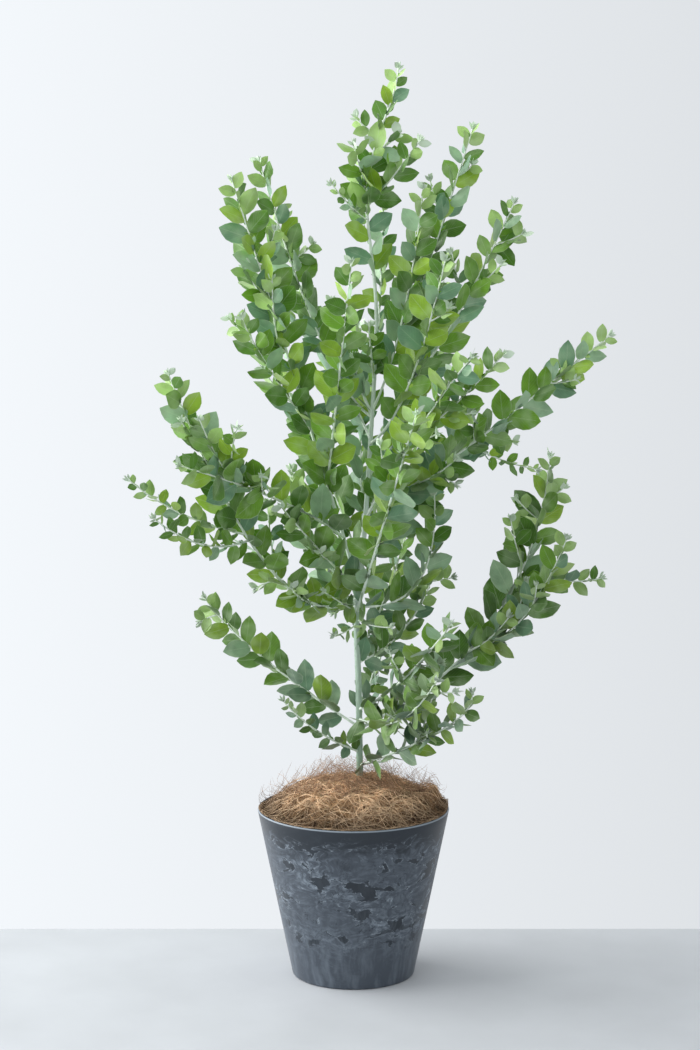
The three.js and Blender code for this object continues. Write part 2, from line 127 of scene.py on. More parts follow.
# Short sprays inside the crown, in the same form, which only carry a few leaves each
SPRAYS = [
    ("knot_left", "trunk", 545, 224, 69, 40, (0.6, 0.6), 2.2, 0),
    ("knot_low", "trunk", 528, 228, 52, -9, (0.6, 1.5), 2, 0),
    ("knot_right", "trunk", 535, 310, 77, -1, (0.5, 8), 2.2, 0),
    ("knot_drop", "trunk", 560, 205, 40, -14, (0.6, 0.2), 2, 0),
    ("leader_left", "leader_tip", 1238, 170, 34, 26, (0.6, 0.4), 2.2, 0),
    ("leader_right", "trunk", 1212, 350, 38, 28, (0.6, 0.4), 2.2, 0),
    ("leader_low", "trunk", 1132, 200, 15, 2, (0.6, 0.4), 2.2, 0),
    ("left_high_in", "left_high", 1056, 20, 34, 26, (0.6, 0.4), 2.2, 0),
    ("left_stem_out", "left_stem", 1000, 190, 40, 50, (0.6, 0.4), 2.4, 0),
    ("left_front_out", "left_front", 955, 170, 32, 26, (0.6, 0.4), 2.2, 0),
    ("left_mid_rise", "left_mid", 700, 120, 38, 62, (0.6, 0.4), 2.4, 0),
    ("left_mid_back", "left_mid", 682, 100, 32, 60, (0.6, 0.4), 2.4, 0),
    ("left_long_drop", "left_long", 603, 190, 36, -12, (0.6, 0.2), 2.2, 0),
    ("left_low_drop", "left_low", 536, 190, 28, -12, (0.6, 0.2), 2, 0),
    ("right_high_out", "right_high", 1082, 0, 42, 18, (0.6, 0.3), 2.4, 0),
    ("right_long_drop", "right_long", 804, 20, 52, -12, (0.6, 0.2), 2.4, 0),
    ("right_long_low", "right_long", 748, 350, 42, -16, (0.6, 0.2), 2.4, 0),
    ("right_low_in", "right_low", 668, 190, 36, 34, (0.6, 0.4), 2.2, 0),
    ("right_low_out", "right_low", 696, 0, 32, 22, (0.6, 0.4), 2.2, 0),
    ("right_low_drop", "right_low", 498, 330, 36, -8, (0.6, 0.2), 2.2, 0),
    ("right_back_out", "right_back_short", 582, 0, 34, 6, (0.6, 0.4), 2.2, 0),
    ("front_low_end", "front_low", 468, 335, 42, 4, (0.6, 0.4), 2.2, 0),
]

# Limbs whose leaves are smaller or larger than on the rest, as shares of full size
LEAF_SIZES = {"left_lowest": 0.62, "left_spray": 0.66, "left_front_spray": 0.68, "left_mid_front": 0.75,
              "right_long_back": 0.58, "right_long_front": 0.8, "top_left": 0.55, "leader_tip": 0.85,
              "back_lowest": 0.65, "back_high": 0.65, "right_low_spray": 0.9, "knot_left": 0.75,
              "knot_low": 0.6, "knot_right": 0.75, "front_lowest": 0.85, "left_mid": 1.18,
              "right_low": 1.18, "left_long": 1.08, "right_long": 1.04, "right_low_side": 1.08,
              "left_stem": 1.1, "right_back": 0.95, "right_back_short": 0.82, "back_low": 0.8,
              "front": 1.06, "left_short": 1.08, "right_high_front": 1.08, "top_front": 1.15,
              "leader_left": 0.9, "leader_right": 1.3, "leader_low": 2.2, "right_high_out": 1.2,
              "left_stem_out": 1.2}

# Twigs cut back where the crown is open, by limb and count from its foot
PRUNED = {("front_lowest", 0), ("left_low", 1), ("right_long", 2), ("right_high", 0), ("right_long_back", 0),
          ("right_low", 4), ("back_high", 0), ("back_high", 1), ("left_spray", 0), ("left_front_spray", 0),
          ("right_back_short", 0), ("left_long", 2), ("right_back", 0), ("back_high", 2),
          ("front_right_low", 0)}

# Twigs and leaves by the source's rule, at real size and closer together, from a share of the bare wood on:
# the leaves, how far chance takes them from that, the closed leaves at a tip, new shoots and the twigs
LEAF = {"angle": 56, "lift": 0.12, "crowd": 0.5, "small": 0.3, "ripe": 45, "bare": 0.35, "first": (0.4, 0.8),
        "end": 2, "root": 0.4, "curl": 0.03, "cup": 0.14, "room": 3}
STRAY = {"turn": 16, "lean": 12, "twist": 30, "length": 0.15, "wide": 0.1, "curl": 0.08, "cup": 0.2}
BUD = {"number": 7, "from_tip": (6, 0.5), "size": (0.27, 0.13), "angle": (44, 12), "wide": 0.62}
SHOOT = {"often": 0.3, "leaves": 3, "size": 0.26, "angle": 14}
TWIG = {"every": 70, "first": 0.06, "last": 0.92, "share": 0.36, "shortest": 26, "longest": 84,
        "angle": 48, "rise": 0.3, "knee": (0.6, 0.35), "slim": 0.8, "leaf": 0.86, "room": 8,
        "bare": 0.5, "seeds": 60}

# What is drawn by chance, and the large steps that part one chance from the next
DRAWS = {"start": 1, "phase": 2, "turn": 3, "lean": 4, "twist": 5, "length": 6, "twig": 7, "twig_phase": 8,
         "kind": 9, "curl": 10, "cup": 11, "wave": 12, "wide": 13, "shoot": 14}
SEED_STEP, DRAW_STEP, COUNT_STEP, SINE_STEP = 12.9898, 37.719, 78.233, 43758.5453


def chance(seed, draw, count=0):
    """Chance from 0 to 1: the fraction of a large multiple of the sine of seed, draw and count."""
    wave = np.sin(seed * SEED_STEP + DRAWS[draw] * DRAW_STEP + count * COUNT_STEP) * SINE_STEP
    return wave - np.floor(wave)


def spread(seed, draw, count=0):
    """A chance from -1 to 1."""
    return 2 * chance(seed, draw, count) - 1


def lerp(low, high, share):
    """The value at a share of the way from low to high."""
    return low + (high - low) * share


def smooth(low, high, value):
    """An even S-curve from 0 at low to 1 at high."""
    share = np.clip((value - low) / (high - low), 0, 1)
    return share * share * (3 - 2 * share)


def unit(vectors):
    """Vectors scaled to length one."""
    return vectors / np.linalg.norm(vectors, axis=-1, keepdims=True)


def linear(code):
    """An sRGB hex colour as a linear red, green, blue and alpha."""
    shares = [int(code[i:i + 2], 16) / 255 for i in (1, 3, 5)]
    return (*[s / 12.92 if s <= 0.04045 else ((s + 0.055) / 1.055) ** 2.4 for s in shares], 1.0)


class Path:
    """A curve as dense points, read by the distance gone along it."""

    def __init__(self, points):
        self.points = points
        steps = np.linalg.norm(np.diff(points, axis=0), axis=1)
        self.marks = np.concatenate([[0.0], np.cumsum(steps)])
        self.length = self.marks[-1]

    def at(self, gone):
        """The points at some distances along the curve."""
        return np.stack([np.interp(gone, self.marks, self.points[:, axis]) for axis in range(3)], axis=-1)

    def tangent(self, gone):
        """The unit directions of the curve at some distances along it."""
        step = 0.4
        back = np.clip(np.asarray(gone) - step, 0, self.length - step)
        return unit(self.at(back + step) - self.at(back))

    def height(self, level):
        """The point of a rising curve at a height."""
        return np.array([np.interp(level, self.points[:, 2], self.points[:, axis]) for axis in range(3)])


@dataclass
class Limb:
    """A limb of the plant: its path, a fixed direction square to it, the thickness of its foot, the share
    of it that is bare, its seed, the size of its leaves and the name of the mass of foliage it is in."""

    name: str
    path: Path
    side: np.ndarray
    thick: float
    bare: float
    seed: int
    scale: float
    mass: str

    def radius(self, gone):
        """The radius at some distances along the limb, which tapers evenly."""
        if self.name == "trunk":
            flare = np.clip(1 - gone / TRUNK["flare_height"], 0, 1) ** 2
            return lerp(TRUNK["foot"], TRUNK["top"], gone / self.path.length) + TRUNK["flare"] * flare
        return lerp(self.thick / 2, TIP_RADIUS, gone / self.path.length)

    def outward(self, gone, turn):
        """The direction off the limb at a turn round it from its fixed side."""
        across = unit(np.cross(self.path.tangent(gone), self.side))
        return self.side * np.cos(turn)[..., None] + across * np.sin(turn)[..., None]


def trunk_path():
    """The trunk's axis: a Catmull-Rom curve, each stretch a cubic through its two bends whose slopes are
    half the step between the bends on either side."""
    bends = np.array(TRUNK_BENDS, float)
    bends = np.vstack([2 * bends[0] - bends[1], bends, 2 * bends[-1] - bends[-2]])
    t = np.linspace(0, 1, 60)[:, None]
    stretches = []
    for p0, p1, p2, p3 in zip(bends, bends[1:], bends[2:], bends[3:]):
        slope1 = (p2 - p0) / 2
        slope2 = (p3 - p1) / 2
        cubic = 2 * (p1 - p2) + slope1 + slope2
        square = 3 * (p2 - p1) - 2 * slope1 - slope2
        stretches.append(((cubic * t + square) * t + slope1) * t + p1)
    return Path(np.vstack([stretch[:-1] for stretch in stretches] + [bends[-2]]))


def limb_path(base, heading, reach, rise, knee):
    """A limb's axis: a quadratic curve in an upright plane from the base past the knee to the tip."""
    away = np.array([math.cos(math.radians(heading)), math.sin(math.radians(heading)), 0.0])
    up = np.array([0.0, 0.0, 1.0])
    bend = base + away * knee[0] * reach + up * knee[1] * rise
    tip = base + away * reach + up * rise
    t = np.linspace(0, 1, 201)[:, None]
    points = (1 - t) ** 2 * base + 2 * t * (1 - t) * bend + t ** 2 * tip
    return Path(points), np.array([-away[1], away[0], 0.0])


def twigs_of(limb):
    """The twigs of one limb by the source's rule: each a golden turn on from the last, standing off at an
    angle and rising, as long as a share of what is left of the limb."""
    length = limb.path.length
    start, end = TRUNK["twigs"] if limb.name == "trunk" else (TWIG["bare"] * limb.bare, 1)
    number = int((end - start) * length // TWIG["every"])
    angle = math.radians(TWIG["angle"])
    twigs = []
    for count in range(number):
        if (limb.name, count) in PRUNED:
            continue
        step = (count + chance(limb.seed, "twig", count)) / number
        share = lerp(start, end, lerp(TWIG["first"], TWIG["last"], step))
        gone = np.array(share * length)
        turn = np.radians(360 * chance(limb.seed, "twig_phase") + TURN * count)
        aim = limb.outward(gone, turn) * math.sin(angle) + limb.path.tangent(gone) * math.cos(angle)
        size = np.clip(TWIG["share"] * (1 - share) * length, TWIG["shortest"], TWIG["longest"])
        heading = math.degrees(math.atan2(aim[1], aim[0]))
        reach = math.hypot(aim[0], aim[1]) * size
        rise = (aim[2] + TWIG["rise"]) * size
        path, side = limb_path(limb.path.at(gone), heading, reach, rise, TWIG["knee"])
        thick = 2 * TWIG["slim"] * float(limb.radius(gone))
        seed = limb.seed + TWIG["seeds"] * (count + 1)
        scale = TWIG["leaf"] * limb.scale
        twigs.append(Limb(f"{limb.name}_twig", path, side, thick, 0, seed, scale, limb.mass))
    return twigs


def grow_plant():
    """The trunk, each limb of the table on its parent, and the seeded twigs that find room in their mass."""
    side, thick = np.array([0.0, 1.0, 0.0]), 2 * TRUNK["foot"]
    trunk = Limb("trunk", trunk_path(), side, thick, TRUNK["leafy"], TRUNK["seed"], 1, "trunk")
    limbs = {"trunk": trunk}
    for seed, row in enumerate(LIMBS + SPRAYS, 1):
        name, parent, height, heading, reach, rise, knee, thick, bare = row
        path, side = limb_path(limbs[parent].path.height(height), heading, reach, rise, knee)
        mass = name if f"foliage_{name}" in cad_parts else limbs[parent].mass
        limbs[name] = Limb(name, path, side, thick, bare, seed, LEAF_SIZES.get(name, 1), mass)
    masses = {name: [np.array(corner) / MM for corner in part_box(name)] for name in FOLIAGE_NODES}
    lows, highs = zip(*masses.values())
    crown = np.min(lows, axis=0), np.max(highs, axis=0)
    wood = np.vstack([limb.path.points[::4] for limb in limbs.values()])
    for limb in list(limbs.values()):
        low, high = masses.get(f"foliage_{limb.mass}", crown)
        for twig in twigs_of(limb):
            # Only the part past its first third counts, since its foot is in its parent
            outer = twig.path.points[60:]
            inside = np.all(outer > low) and np.all(outer < high)
            near = np.linalg.norm(outer[::20, None] - wood[None], axis=-1).min()
            if inside and near > TWIG["room"]:
                limbs[f"{twig.name}_{twig.seed}"] = twig
                wood = np.vstack([wood, twig.path.points[::10]])
    return limbs


def leaf_marks(limb, pitch):
    """How far along a limb its leaves sit, and their sizes: they shrink evenly in the last few centimetres,
    by a power of e for the distance to the tip, and crowd there."""
    length = limb.path.length
    is_trunk = limb.name == "trunk"
    pitch = pitch * (TRUNK["sparse"] if is_trunk else 1)
    start = limb.bare * (1 if is_trunk else LEAF["bare"])
    gone = start * length + pitch * lerp(*LEAF["first"], chance(limb.seed, "start"))
    marks, sizes = [], []
    while gone < length - LEAF["end"]:
        size = limb.scale * lerp(1, LEAF["small"], math.exp((gone - length) / LEAF["ripe"]))
        marks.append(gone)
        sizes.append(size)
        gone += pitch * lerp(LEAF["crowd"], 1, size)
    return np.array(marks), np.array(sizes)


def leaf_rows(limb, leaf):
    """The leaves of one limb as arrays, by the source's rule: each a golden turn on from the last, standing
    out at an angle with its blade on edge, all strayed a little by chance. Small closed leaves end the tip,
    and some leaves have a few small ones of a new shoot beside their root."""
    marks, sizes = leaf_marks(limb, leaf.pitch / MM)
    seed, length = limb.seed, limb.path.length
    buds, plain = BUD["number"], len(marks)
    shoots = np.flatnonzero(chance(seed, "shoot", np.arange(plain)) < SHOOT["often"])
    shoots = np.repeat(shoots, SHOOT["leaves"])
    marks = np.concatenate([marks, length - np.linspace(*BUD["from_tip"], buds), marks[shoots]])
    sizes = np.concatenate([sizes, np.linspace(*BUD["size"], buds), sizes[shoots] * SHOOT["size"]])
    sprout = np.concatenate([np.zeros(plain + buds, int), 1 + np.arange(len(shoots)) % SHOOT["leaves"]])
    count = np.arange(len(marks))
    node = np.concatenate([np.arange(plain + buds), shoots])
    is_bud = (count >= plain) & (sprout == 0)
    phase = 360 * chance(seed, "phase")
    turn = np.radians(phase + TURN * node + STRAY["turn"] * spread(seed, "turn", count) * (1 + sprout))
    bud_angle = lerp(*BUD["angle"], (count - plain) / buds)
    angle = np.where(is_bud, bud_angle, LEAF["angle"] - SHOOT["angle"] * sprout)
    lean = np.radians(angle + STRAY["lean"] * spread(seed, "lean", count))
    tangent = limb.path.tangent(marks)
    aim = limb.outward(marks, turn) * np.sin(lean)[:, None] + tangent * np.cos(lean)[:, None]
    aim[:, 2] += LEAF["lift"]
    aim = unit(aim)
    blade = unit(np.cross(tangent, aim))
    twist = np.radians(STRAY["twist"] * spread(seed, "twist", count))[:, None]
    blade = unit(blade * np.cos(twist) + np.cross(aim, blade) * np.sin(twist))
    size = leaf.length / MM * sizes * (1 + STRAY["length"] * spread(seed, "length", count))
    wide = np.where(is_bud, BUD["wide"], 1 + STRAY["wide"] * spread(seed, "wide", count))
    return {
        "root": limb.path.at(marks) + aim * (LEAF["root"] * limb.radius(marks))[:, None],
        "aim": aim,
        "blade": blade,
        "length": size,
        "width": size * (leaf.width / leaf.length) * wide,
        "curl": STRAY["curl"] * spread(seed, "curl", count) + LEAF["curl"],
        "cup": LEAF["cup"] + STRAY["cup"] * spread(seed, "cup", count),
        "wave": chance(seed, "wave", count),
        "left": np.where(is_bud, 0, length - marks),
        "small": is_bud | (sprout > 0),
        "kind": chance(seed, "kind", count),
        "tip_y": np.full(len(marks), limb.path.points[-1][1]),
    }


def clear_of_wood(rows, limbs, room):
    """Which leaves keep some room from all wood, tested at three places on the outer part of the blade. The
    small ones always stay."""
    wood = np.vstack([limb.path.points[::8] for limb in limbs.values()])
    clear = np.ones(len(rows["length"]), bool)
    batch = 400
    for share in (0.45, 0.7, 0.95):
        points = rows["root"] + rows["aim"] * (share * rows["length"])[:, None]
        for start in range(0, len(points), batch):
            part = slice(start, start + batch)
            gaps = np.linalg.norm(points[part, None] - wood[None], axis=-1).min(axis=1)
            clear[part] &= gaps > room
    return clear | rows["small"]


# Shapes

def faces_of(*groups):
    """Face groups of equal corner counts as one run of corners and the number of corners of each face."""
    corners = np.concatenate([group.reshape(-1) for group in groups])
    counts = np.concatenate([np.full(group.size // group.shape[-1], group.shape[-1]) for group in groups])
    return corners, counts


def ring_faces(rings, sides):
    """The faces of a closed body of rings of points and two end points, which come after the rings: quads
    between each ring and the next, and a fan of triangles from each end point to the ring beside it."""
    ring, spoke = np.meshgrid(np.arange(rings - 1), np.arange(sides), indexing="ij")
    after = (spoke + 1) % sides
    quads = np.stack([ring * sides + spoke, ring * sides + after,
                      (ring + 1) * sides + after, (ring + 1) * sides + spoke], axis=-1).reshape(-1, 4)
    spoke = np.arange(sides)
    after = (spoke + 1) % sides
    last = (rings - 1) * sides
    foot = np.full(sides, rings * sides)
    fans = np.concatenate([np.stack([foot, after, spoke], axis=-1),
                           np.stack([foot + 1, last + spoke, last + after], axis=-1)])
    return quads, fans


def circles(radii, sides):
    """The places across of circles round the axis, one for each radius, cut into equal sides."""
    turn = 2 * np.pi * np.arange(sides) / sides
    return radii[:, None] * np.cos(turn), radii[:, None] * np.sin(turn)


def tubes(centres, radii, sides, lead):
    """Closed tubes, one for each row of centres: each ring stands square to the path round its centre, with
    a radius for each of its points, and the first and last centres are the tube's two end points. lead is a
    direction that the rings start from."""
    number, rings = centres.shape[:2]
    hair = 1e-9
    ahead = unit(np.gradient(centres, axis=1) + hair)
    across = unit(np.cross(ahead, np.broadcast_to(lead, ahead.shape)))
    side = np.cross(across, ahead)
    turn = 2 * np.pi * np.arange(sides) / sides
    spokes = side[:, :, None] * np.cos(turn)[:, None] + across[:, :, None] * np.sin(turn)[:, None]
    rim = centres[:, :, None] + spokes * np.broadcast_to(radii, (number, rings, sides))[..., None]
    body = rim[:, 1:-1].reshape(number, -1, 3)
    points = np.concatenate([body, centres[:, :1], centres[:, -1:]], axis=1)
    quads, fans = ring_faces(rings - 2, sides)
    shift = np.arange(number)[:, None, None] * points.shape[1]
    return points.reshape(-1, 3), (quads + shift).reshape(-1, 4), (fans + shift).reshape(-1, 3)


def join_shapes(shapes):
    """Several shapes of points, quads, triangles and one value for each point as one shape."""
    points, quads, fans, values = zip(*shapes)
    starts = np.cumsum([0] + [len(part) for part in points[:-1]])
    return (np.vstack(points), np.vstack([part + start for part, start in zip(quads, starts)]),
            np.vstack([part + start for part, start in zip(fans, starts)]), np.concatenate(values))


def lathe(profile, sectors):
    """A closed surface of revolution: each profile point but the two on the axis goes round the axis."""
    inner = profile[1:-1]
    x, y = circles(inner[:, 0], sectors)
    z = np.repeat(inner[:, 1, None], sectors, axis=1)
    ends = [[0, 0, profile[0, 1]], [0, 0, profile[-1, 1]]]
    quads, fans = ring_faces(len(inner), sectors)
    return np.vstack([np.stack([x, y, z], axis=-1).reshape(-1, 3), ends]), quads, fans


# A leaf blade: the cells of its grid, the power of its outline at the root and what that gains to the point,
# its least half width, the waves along its margin and their height, the power of its cup, and what share of
# its thickness its ends have
ALONG, ACROSS = 8, 4
BLADE = {"root": 0.42, "point": 0.45, "least": 0.45, "waves": 1.6, "ripple": 0.035, "cup": 1.6, "stalk": 0.2}


def leaf_pattern():
    """One leaf's grid: the places of its points across and along, which sheet each is on, and its faces.
    The upper and lower sheets share the points of the margin."""
    along, across = np.meshgrid(np.arange(ALONG + 1), np.arange(ACROSS + 1), indexing="ij")
    upper = along * (ACROSS + 1) + across
    rim = (along == 0) | (along == ALONG) | (across == 0) | (across == ACROSS)
    inner = ~rim
    lower = upper.copy()
    lower[inner] = upper.size + np.arange(inner.sum())
    u = 2 * across / ACROSS - 1
    v = (1 - np.cos(np.pi * along / ALONG)) / 2
    faces = [np.stack([grid[:-1, :-1], grid[:-1, 1:], grid[1:, 1:], grid[1:, :-1]], axis=-1).reshape(-1, 4)
             for grid in (upper, lower)]
    return {
        "u": np.concatenate([u.reshape(-1), u[inner]]),
        "v": np.concatenate([v.reshape(-1), v[inner]]),
        "sheet": np.concatenate([np.where(rim, 0, 1).reshape(-1), np.full(inner.sum(), -1)]),
        "faces": np.vstack([faces[0][:, ::-1], faces[1]]),
        "rim": np.concatenate([rim.reshape(-1), np.zeros(inner.sum(), bool)]),
    }


def leaf_blades(rows, thick):
    """Leaf blades on a grid of two parameters, v along from root to tip and u across from -1 to 1. The half
    width follows the sine of a half turn of v, raised to a power that grows from 0.42 at the root to 0.87 at
    the tip: an oval with a blunt root and a short point. The blade is cupped by a power of u, curls back by
    the square of v and waves at its margin; its two sheets part by the thickness at the rib and meet at the
    margin."""
    grid = leaf_pattern()
    u, v = grid["u"][None], grid["v"][None]
    measures = ("length", "width", "curl", "cup", "wave")
    length, width, curl, cup, wave = (rows[name][:, None] for name in measures)
    outline = np.clip(np.sin(np.pi * v), 0, 1) ** (BLADE["root"] + BLADE["point"] * v)
    half = np.maximum(outline * width / 2, BLADE["least"])
    ripple = np.sin(2 * np.pi * (BLADE["waves"] * v + wave)) * np.abs(u) ** 2 * outline
    up = cup * np.abs(u) ** BLADE["cup"] * half - curl * v ** 2 * length + BLADE["ripple"] * width * ripple
    sheet = np.sqrt(np.clip(1 - u ** 2, 0, 1)) * np.minimum(1, outline + BLADE["stalk"])
    up = up + grid["sheet"] * thick * sheet
    side = np.cross(rows["blade"], rows["aim"])[:, None]
    points = (rows["root"][:, None] + rows["aim"][:, None] * (v * length)[..., None]
              + side * (u * half)[..., None] + rows["blade"][:, None] * up[..., None])
    number, size = points.shape[:2]
    faces = (grid["faces"][None] + (np.arange(number) * size)[:, None, None]).reshape(-1, 4)
    flat = np.stack([grid["u"] / 2 + 0.5, grid["v"]], axis=-1)[grid["faces"].reshape(-1)]
    return points.reshape(-1, 3), faces, np.tile(flat, (number, 1)), np.tile(grid["rim"], number)


# Pieces and materials

def new_piece(name, points, groups, material, nodes, uv=None, age=None, rim=None):
    """Makes a mesh object at the origin from points in millimetres and face groups. uv is laid on the face
    corners, age on the points, and edges between two rim points are sharp."""
    corners, counts = faces_of(*groups)
    mesh = bpy.data.meshes.new(name)
    mesh.vertices.add(len(points))
    mesh.vertices.foreach_set("co", (points * MM).astype(np.float32).ravel())
    mesh.loops.add(len(corners))
    mesh.loops.foreach_set("vertex_index", corners.astype(np.int32))
    mesh.polygons.add(len(counts))
    mesh.polygons.foreach_set("loop_start", (np.cumsum(counts) - counts).astype(np.int32))
    mesh.update(calc_edges=True)
    if uv is not None:
        mesh.uv_layers.new(name="blade").data.foreach_set("uv", uv.astype(np.float32).ravel())
    if age is not None:
        mesh.attributes.new("age", "FLOAT", "POINT").data.foreach_set("value", age.astype(np.float32))
    if rim is not None:
        ends = np.zeros(2 * len(mesh.edges), np.int32)
        mesh.edges.foreach_get("vertices", ends)
        sharp = mesh.attributes.new("sharp_edge", "BOOLEAN", "EDGE")
        sharp.data.foreach_set("value", rim[ends.reshape(-1, 2)].all(axis=1))
    if mesh.validate():
        raise RuntimeError(f"{name} has faces that are not sound")
    mesh.materials.append(material)
    piece = bpy.data.objects.new(name, mesh)
    bpy.context.scene.collection.objects.link(piece)
    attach(piece, "root")
    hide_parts(*nodes)


# Places of the colour inputs and output of a Mix node
MIX_A, MIX_B, MIX_RESULT = 6, 7, 2


def feed(node, inputs):
    """Gives a node's inputs, by place or by name, a value or a link from another node's output."""
    for key, value in inputs.items() if isinstance(inputs, dict) else enumerate(inputs):
        if isinstance(value, bpy.types.NodeSocket):
            node.id_data.links.new(value, node.inputs[key])
        else:
            node.inputs[key].default_value = value


def add_node(tree, kind, inputs=(), output=0, **settings):
    """Adds a shader node with its settings and inputs, and gives one of its outputs."""
    node = tree.nodes.new(f"ShaderNode{kind}")
    for name, value in settings.items():
        setattr(node, name, value)
    feed(node, inputs)
    return node.outputs[output]


def per_metre(size):
    """How many times a pattern of a size in millimetres goes into a metre."""
    return 1 / (size * MM)


def new_material(name, inputs):
    """A material with a Principled shader whose inputs are set, and a way to add nodes to it."""
    material = bpy.data.materials.new(name)
    material.use_nodes = True
    shader = material.node_tree.nodes["Principled BSDF"]
    feed(shader, inputs)
    return material, shader, partial(add_node, material.node_tree)


def lay_coats(add, ground, coats):
    """Coats of colour laid over a ground one after another, each as thick as its share says."""
    for share, paint in coats:
        ground = add("Mix", {0: share, MIX_A: ground, MIX_B: paint}, MIX_RESULT, data_type="RGBA")
    return ground


def leaf_material(name, base, rib):
    """Living leaf with a waxy bloom: a smooth cuticle that scatters light softly, paler along the rib and
    at the margin, where the bloom is thick, and in soft patches where it hasn't been rubbed off, with a
    pale sheen where it is seen from the side, and with faint side veins. Leaves low on the plant are
    darker: painted shade."""
    material, shader, add = new_material(name, {"Roughness": 0.5, "Specular IOR Level": 0.35,
                                                "Sheen Weight": 0.25})
    coords = add("TexCoord").node.outputs
    across, along, _ = add("SeparateXYZ", [coords["UV"]]).node.outputs
    # How far off the rib, as a share of the leaf's width
    off = add("Math", [across, 0.5], operation="SUBTRACT")
    off = add("Math", [off], operation="ABSOLUTE")
    middle = add("MapRange", [off, 0.004, 0.028, 0.24, 0.0])
    margin = add("MapRange", [off, 0.455, 0.5, 0.0, 0.45])
    # Nine pairs of side veins, which slant towards the tip on their way out
    slant = add("Math", [off, -7.0, 0.0], operation="MULTIPLY_ADD")
    row = add("Math", [along, 9.0, slant], operation="MULTIPLY_ADD")
    wave = add("Math", [row, 2 * math.pi], operation="MULTIPLY")
    wave = add("Math", [wave], operation="SINE")
    veins = add("MapRange", [wave, 0.7, 1.0, 0.0, 0.07])
    # Tone that changes from leaf to leaf, and painted shade by the height in metres: darker low on the plant
    mottle = add("TexNoise", {"Vector": coords["Object"], "Scale": per_metre(22.22), "Detail": 3.0})
    shade = add("MapRange", [mottle, 0.35, 0.65, 0.82, 1.16])
    height = add("SeparateXYZ", [coords["Object"]], 2)
    # Painted shade: leaves low on the plant darker, full tone high up
    young = add("MapRange", [height, 0.4, 0.85, 0.6, 1.0])
    shade = add("Math", [shade, young], operation="MULTIPLY")
    tone = add("HueSaturation", {"Value": shade, "Color": base})
    patches = add("TexNoise", {"Vector": coords["Object"], "Scale": per_metre(31.25), "Detail": 2.0})
    film = add("MapRange", [patches, 0.48, 0.68, 0.0, 0.28])
    blade = lay_coats(add, tone, [(share, rib) for share in (film, veins, margin, middle)])
    relief = add("Math", [veins, middle], operation="ADD")
    bump = add("Bump", {"Height": relief, "Strength": 0.4, "Distance": 0.3 * MM})
    feed(shader, {"Base Color": blade, "Normal": bump})
    return material


def wood_material(name, stems, grain):
    """Smooth young bark under a white bloom: chalky and matt, greyer green on old wood and nearly white on
    the growing stems, with grain drawn lengthwise. The grain is 2.4 mm wide and 22 mm long, coarser than
    life, so that it shows."""
    material, shader, add = new_material(name, {"Roughness": 0.7})
    shade = add("ValToRGB", [add("Attribute", output="Fac", attribute_name="age")])
    ramp = shade.node.color_ramp
    ramp.elements[0].color = stems.foot_colour
    ramp.elements[1].color = stems.tip_colour
    ramp.elements.new(0.12).color = stems.old_colour
    ramp.elements.new(0.6).color = stems.young_colour
    stretch = (per_metre(2.381), per_metre(2.381), per_metre(22.22))
    long = add("Mapping", {"Vector": add("TexCoord", output="Object"), "Scale": stretch})
    lines = add("TexNoise", {"Vector": long, "Scale": 1.0, "Detail": 4.0})
    share = add("MapRange", [lines, 0.35, 0.7, 1.0 - grain, 1.0 + grain])
    tone = add("HueSaturation", {"Value": share, "Color": shade})
    bump = add("Bump", {"Height": lines, "Strength": 0.4, "Distance": 0.3 * MM})
    feed(shader, {"Base Color": tone, "Normal": bump})
    return material


def fibre_material(name, base):
    """Coconut fibre: coarse, dried and matt, each strand a little darker or lighter than the next in patches
    of 14 mm, with painted shade low down and painted light on top, by height. Heights are in metres."""
    material, shader, add = new_material(name, {"Roughness": 0.8})
    place = add("TexCoord", output="Object")
    patches = add("TexNoise", {"Vector": place, "Scale": per_metre(14.3), "Detail": 3.0})
    share = add("MapRange", [patches, 0.3, 0.7, 0.65, 1.3])
    # Painted shade and light by height: darker low in the mound, lighter towards its top
    height_shade = add("MapRange", [add("SeparateXYZ", [place], 2), 0.256, 0.288, 0.5, 1.45])
    value = add("Math", [share, height_shade], operation="MULTIPLY")
    feed(shader, {"Base Color": add("HueSaturation", {"Value": value, "Color": base})})
    return material


def soil_material(base):
    """Moist potting soil: dark crumbs a few millimetres across, quite dull."""
    material, shader, add = new_material("potting_soil", {"Roughness": 0.95})
    place = add("TexCoord", output="Object")
    crumbs = add("TexNoise", {"Vector": place, "Scale": per_metre(3.85), "Detail": 6.0})
    share = add("MapRange", [crumbs, 0.3, 0.7, 0.5, 1.6])
    tone = add("HueSaturation", {"Value": share, "Color": base})
    bump = add("Bump", {"Height": crumbs, "Strength": 0.8, "Distance": 2 * MM})
    feed(shader, {"Base Color": tone, "Normal": bump})
    return material


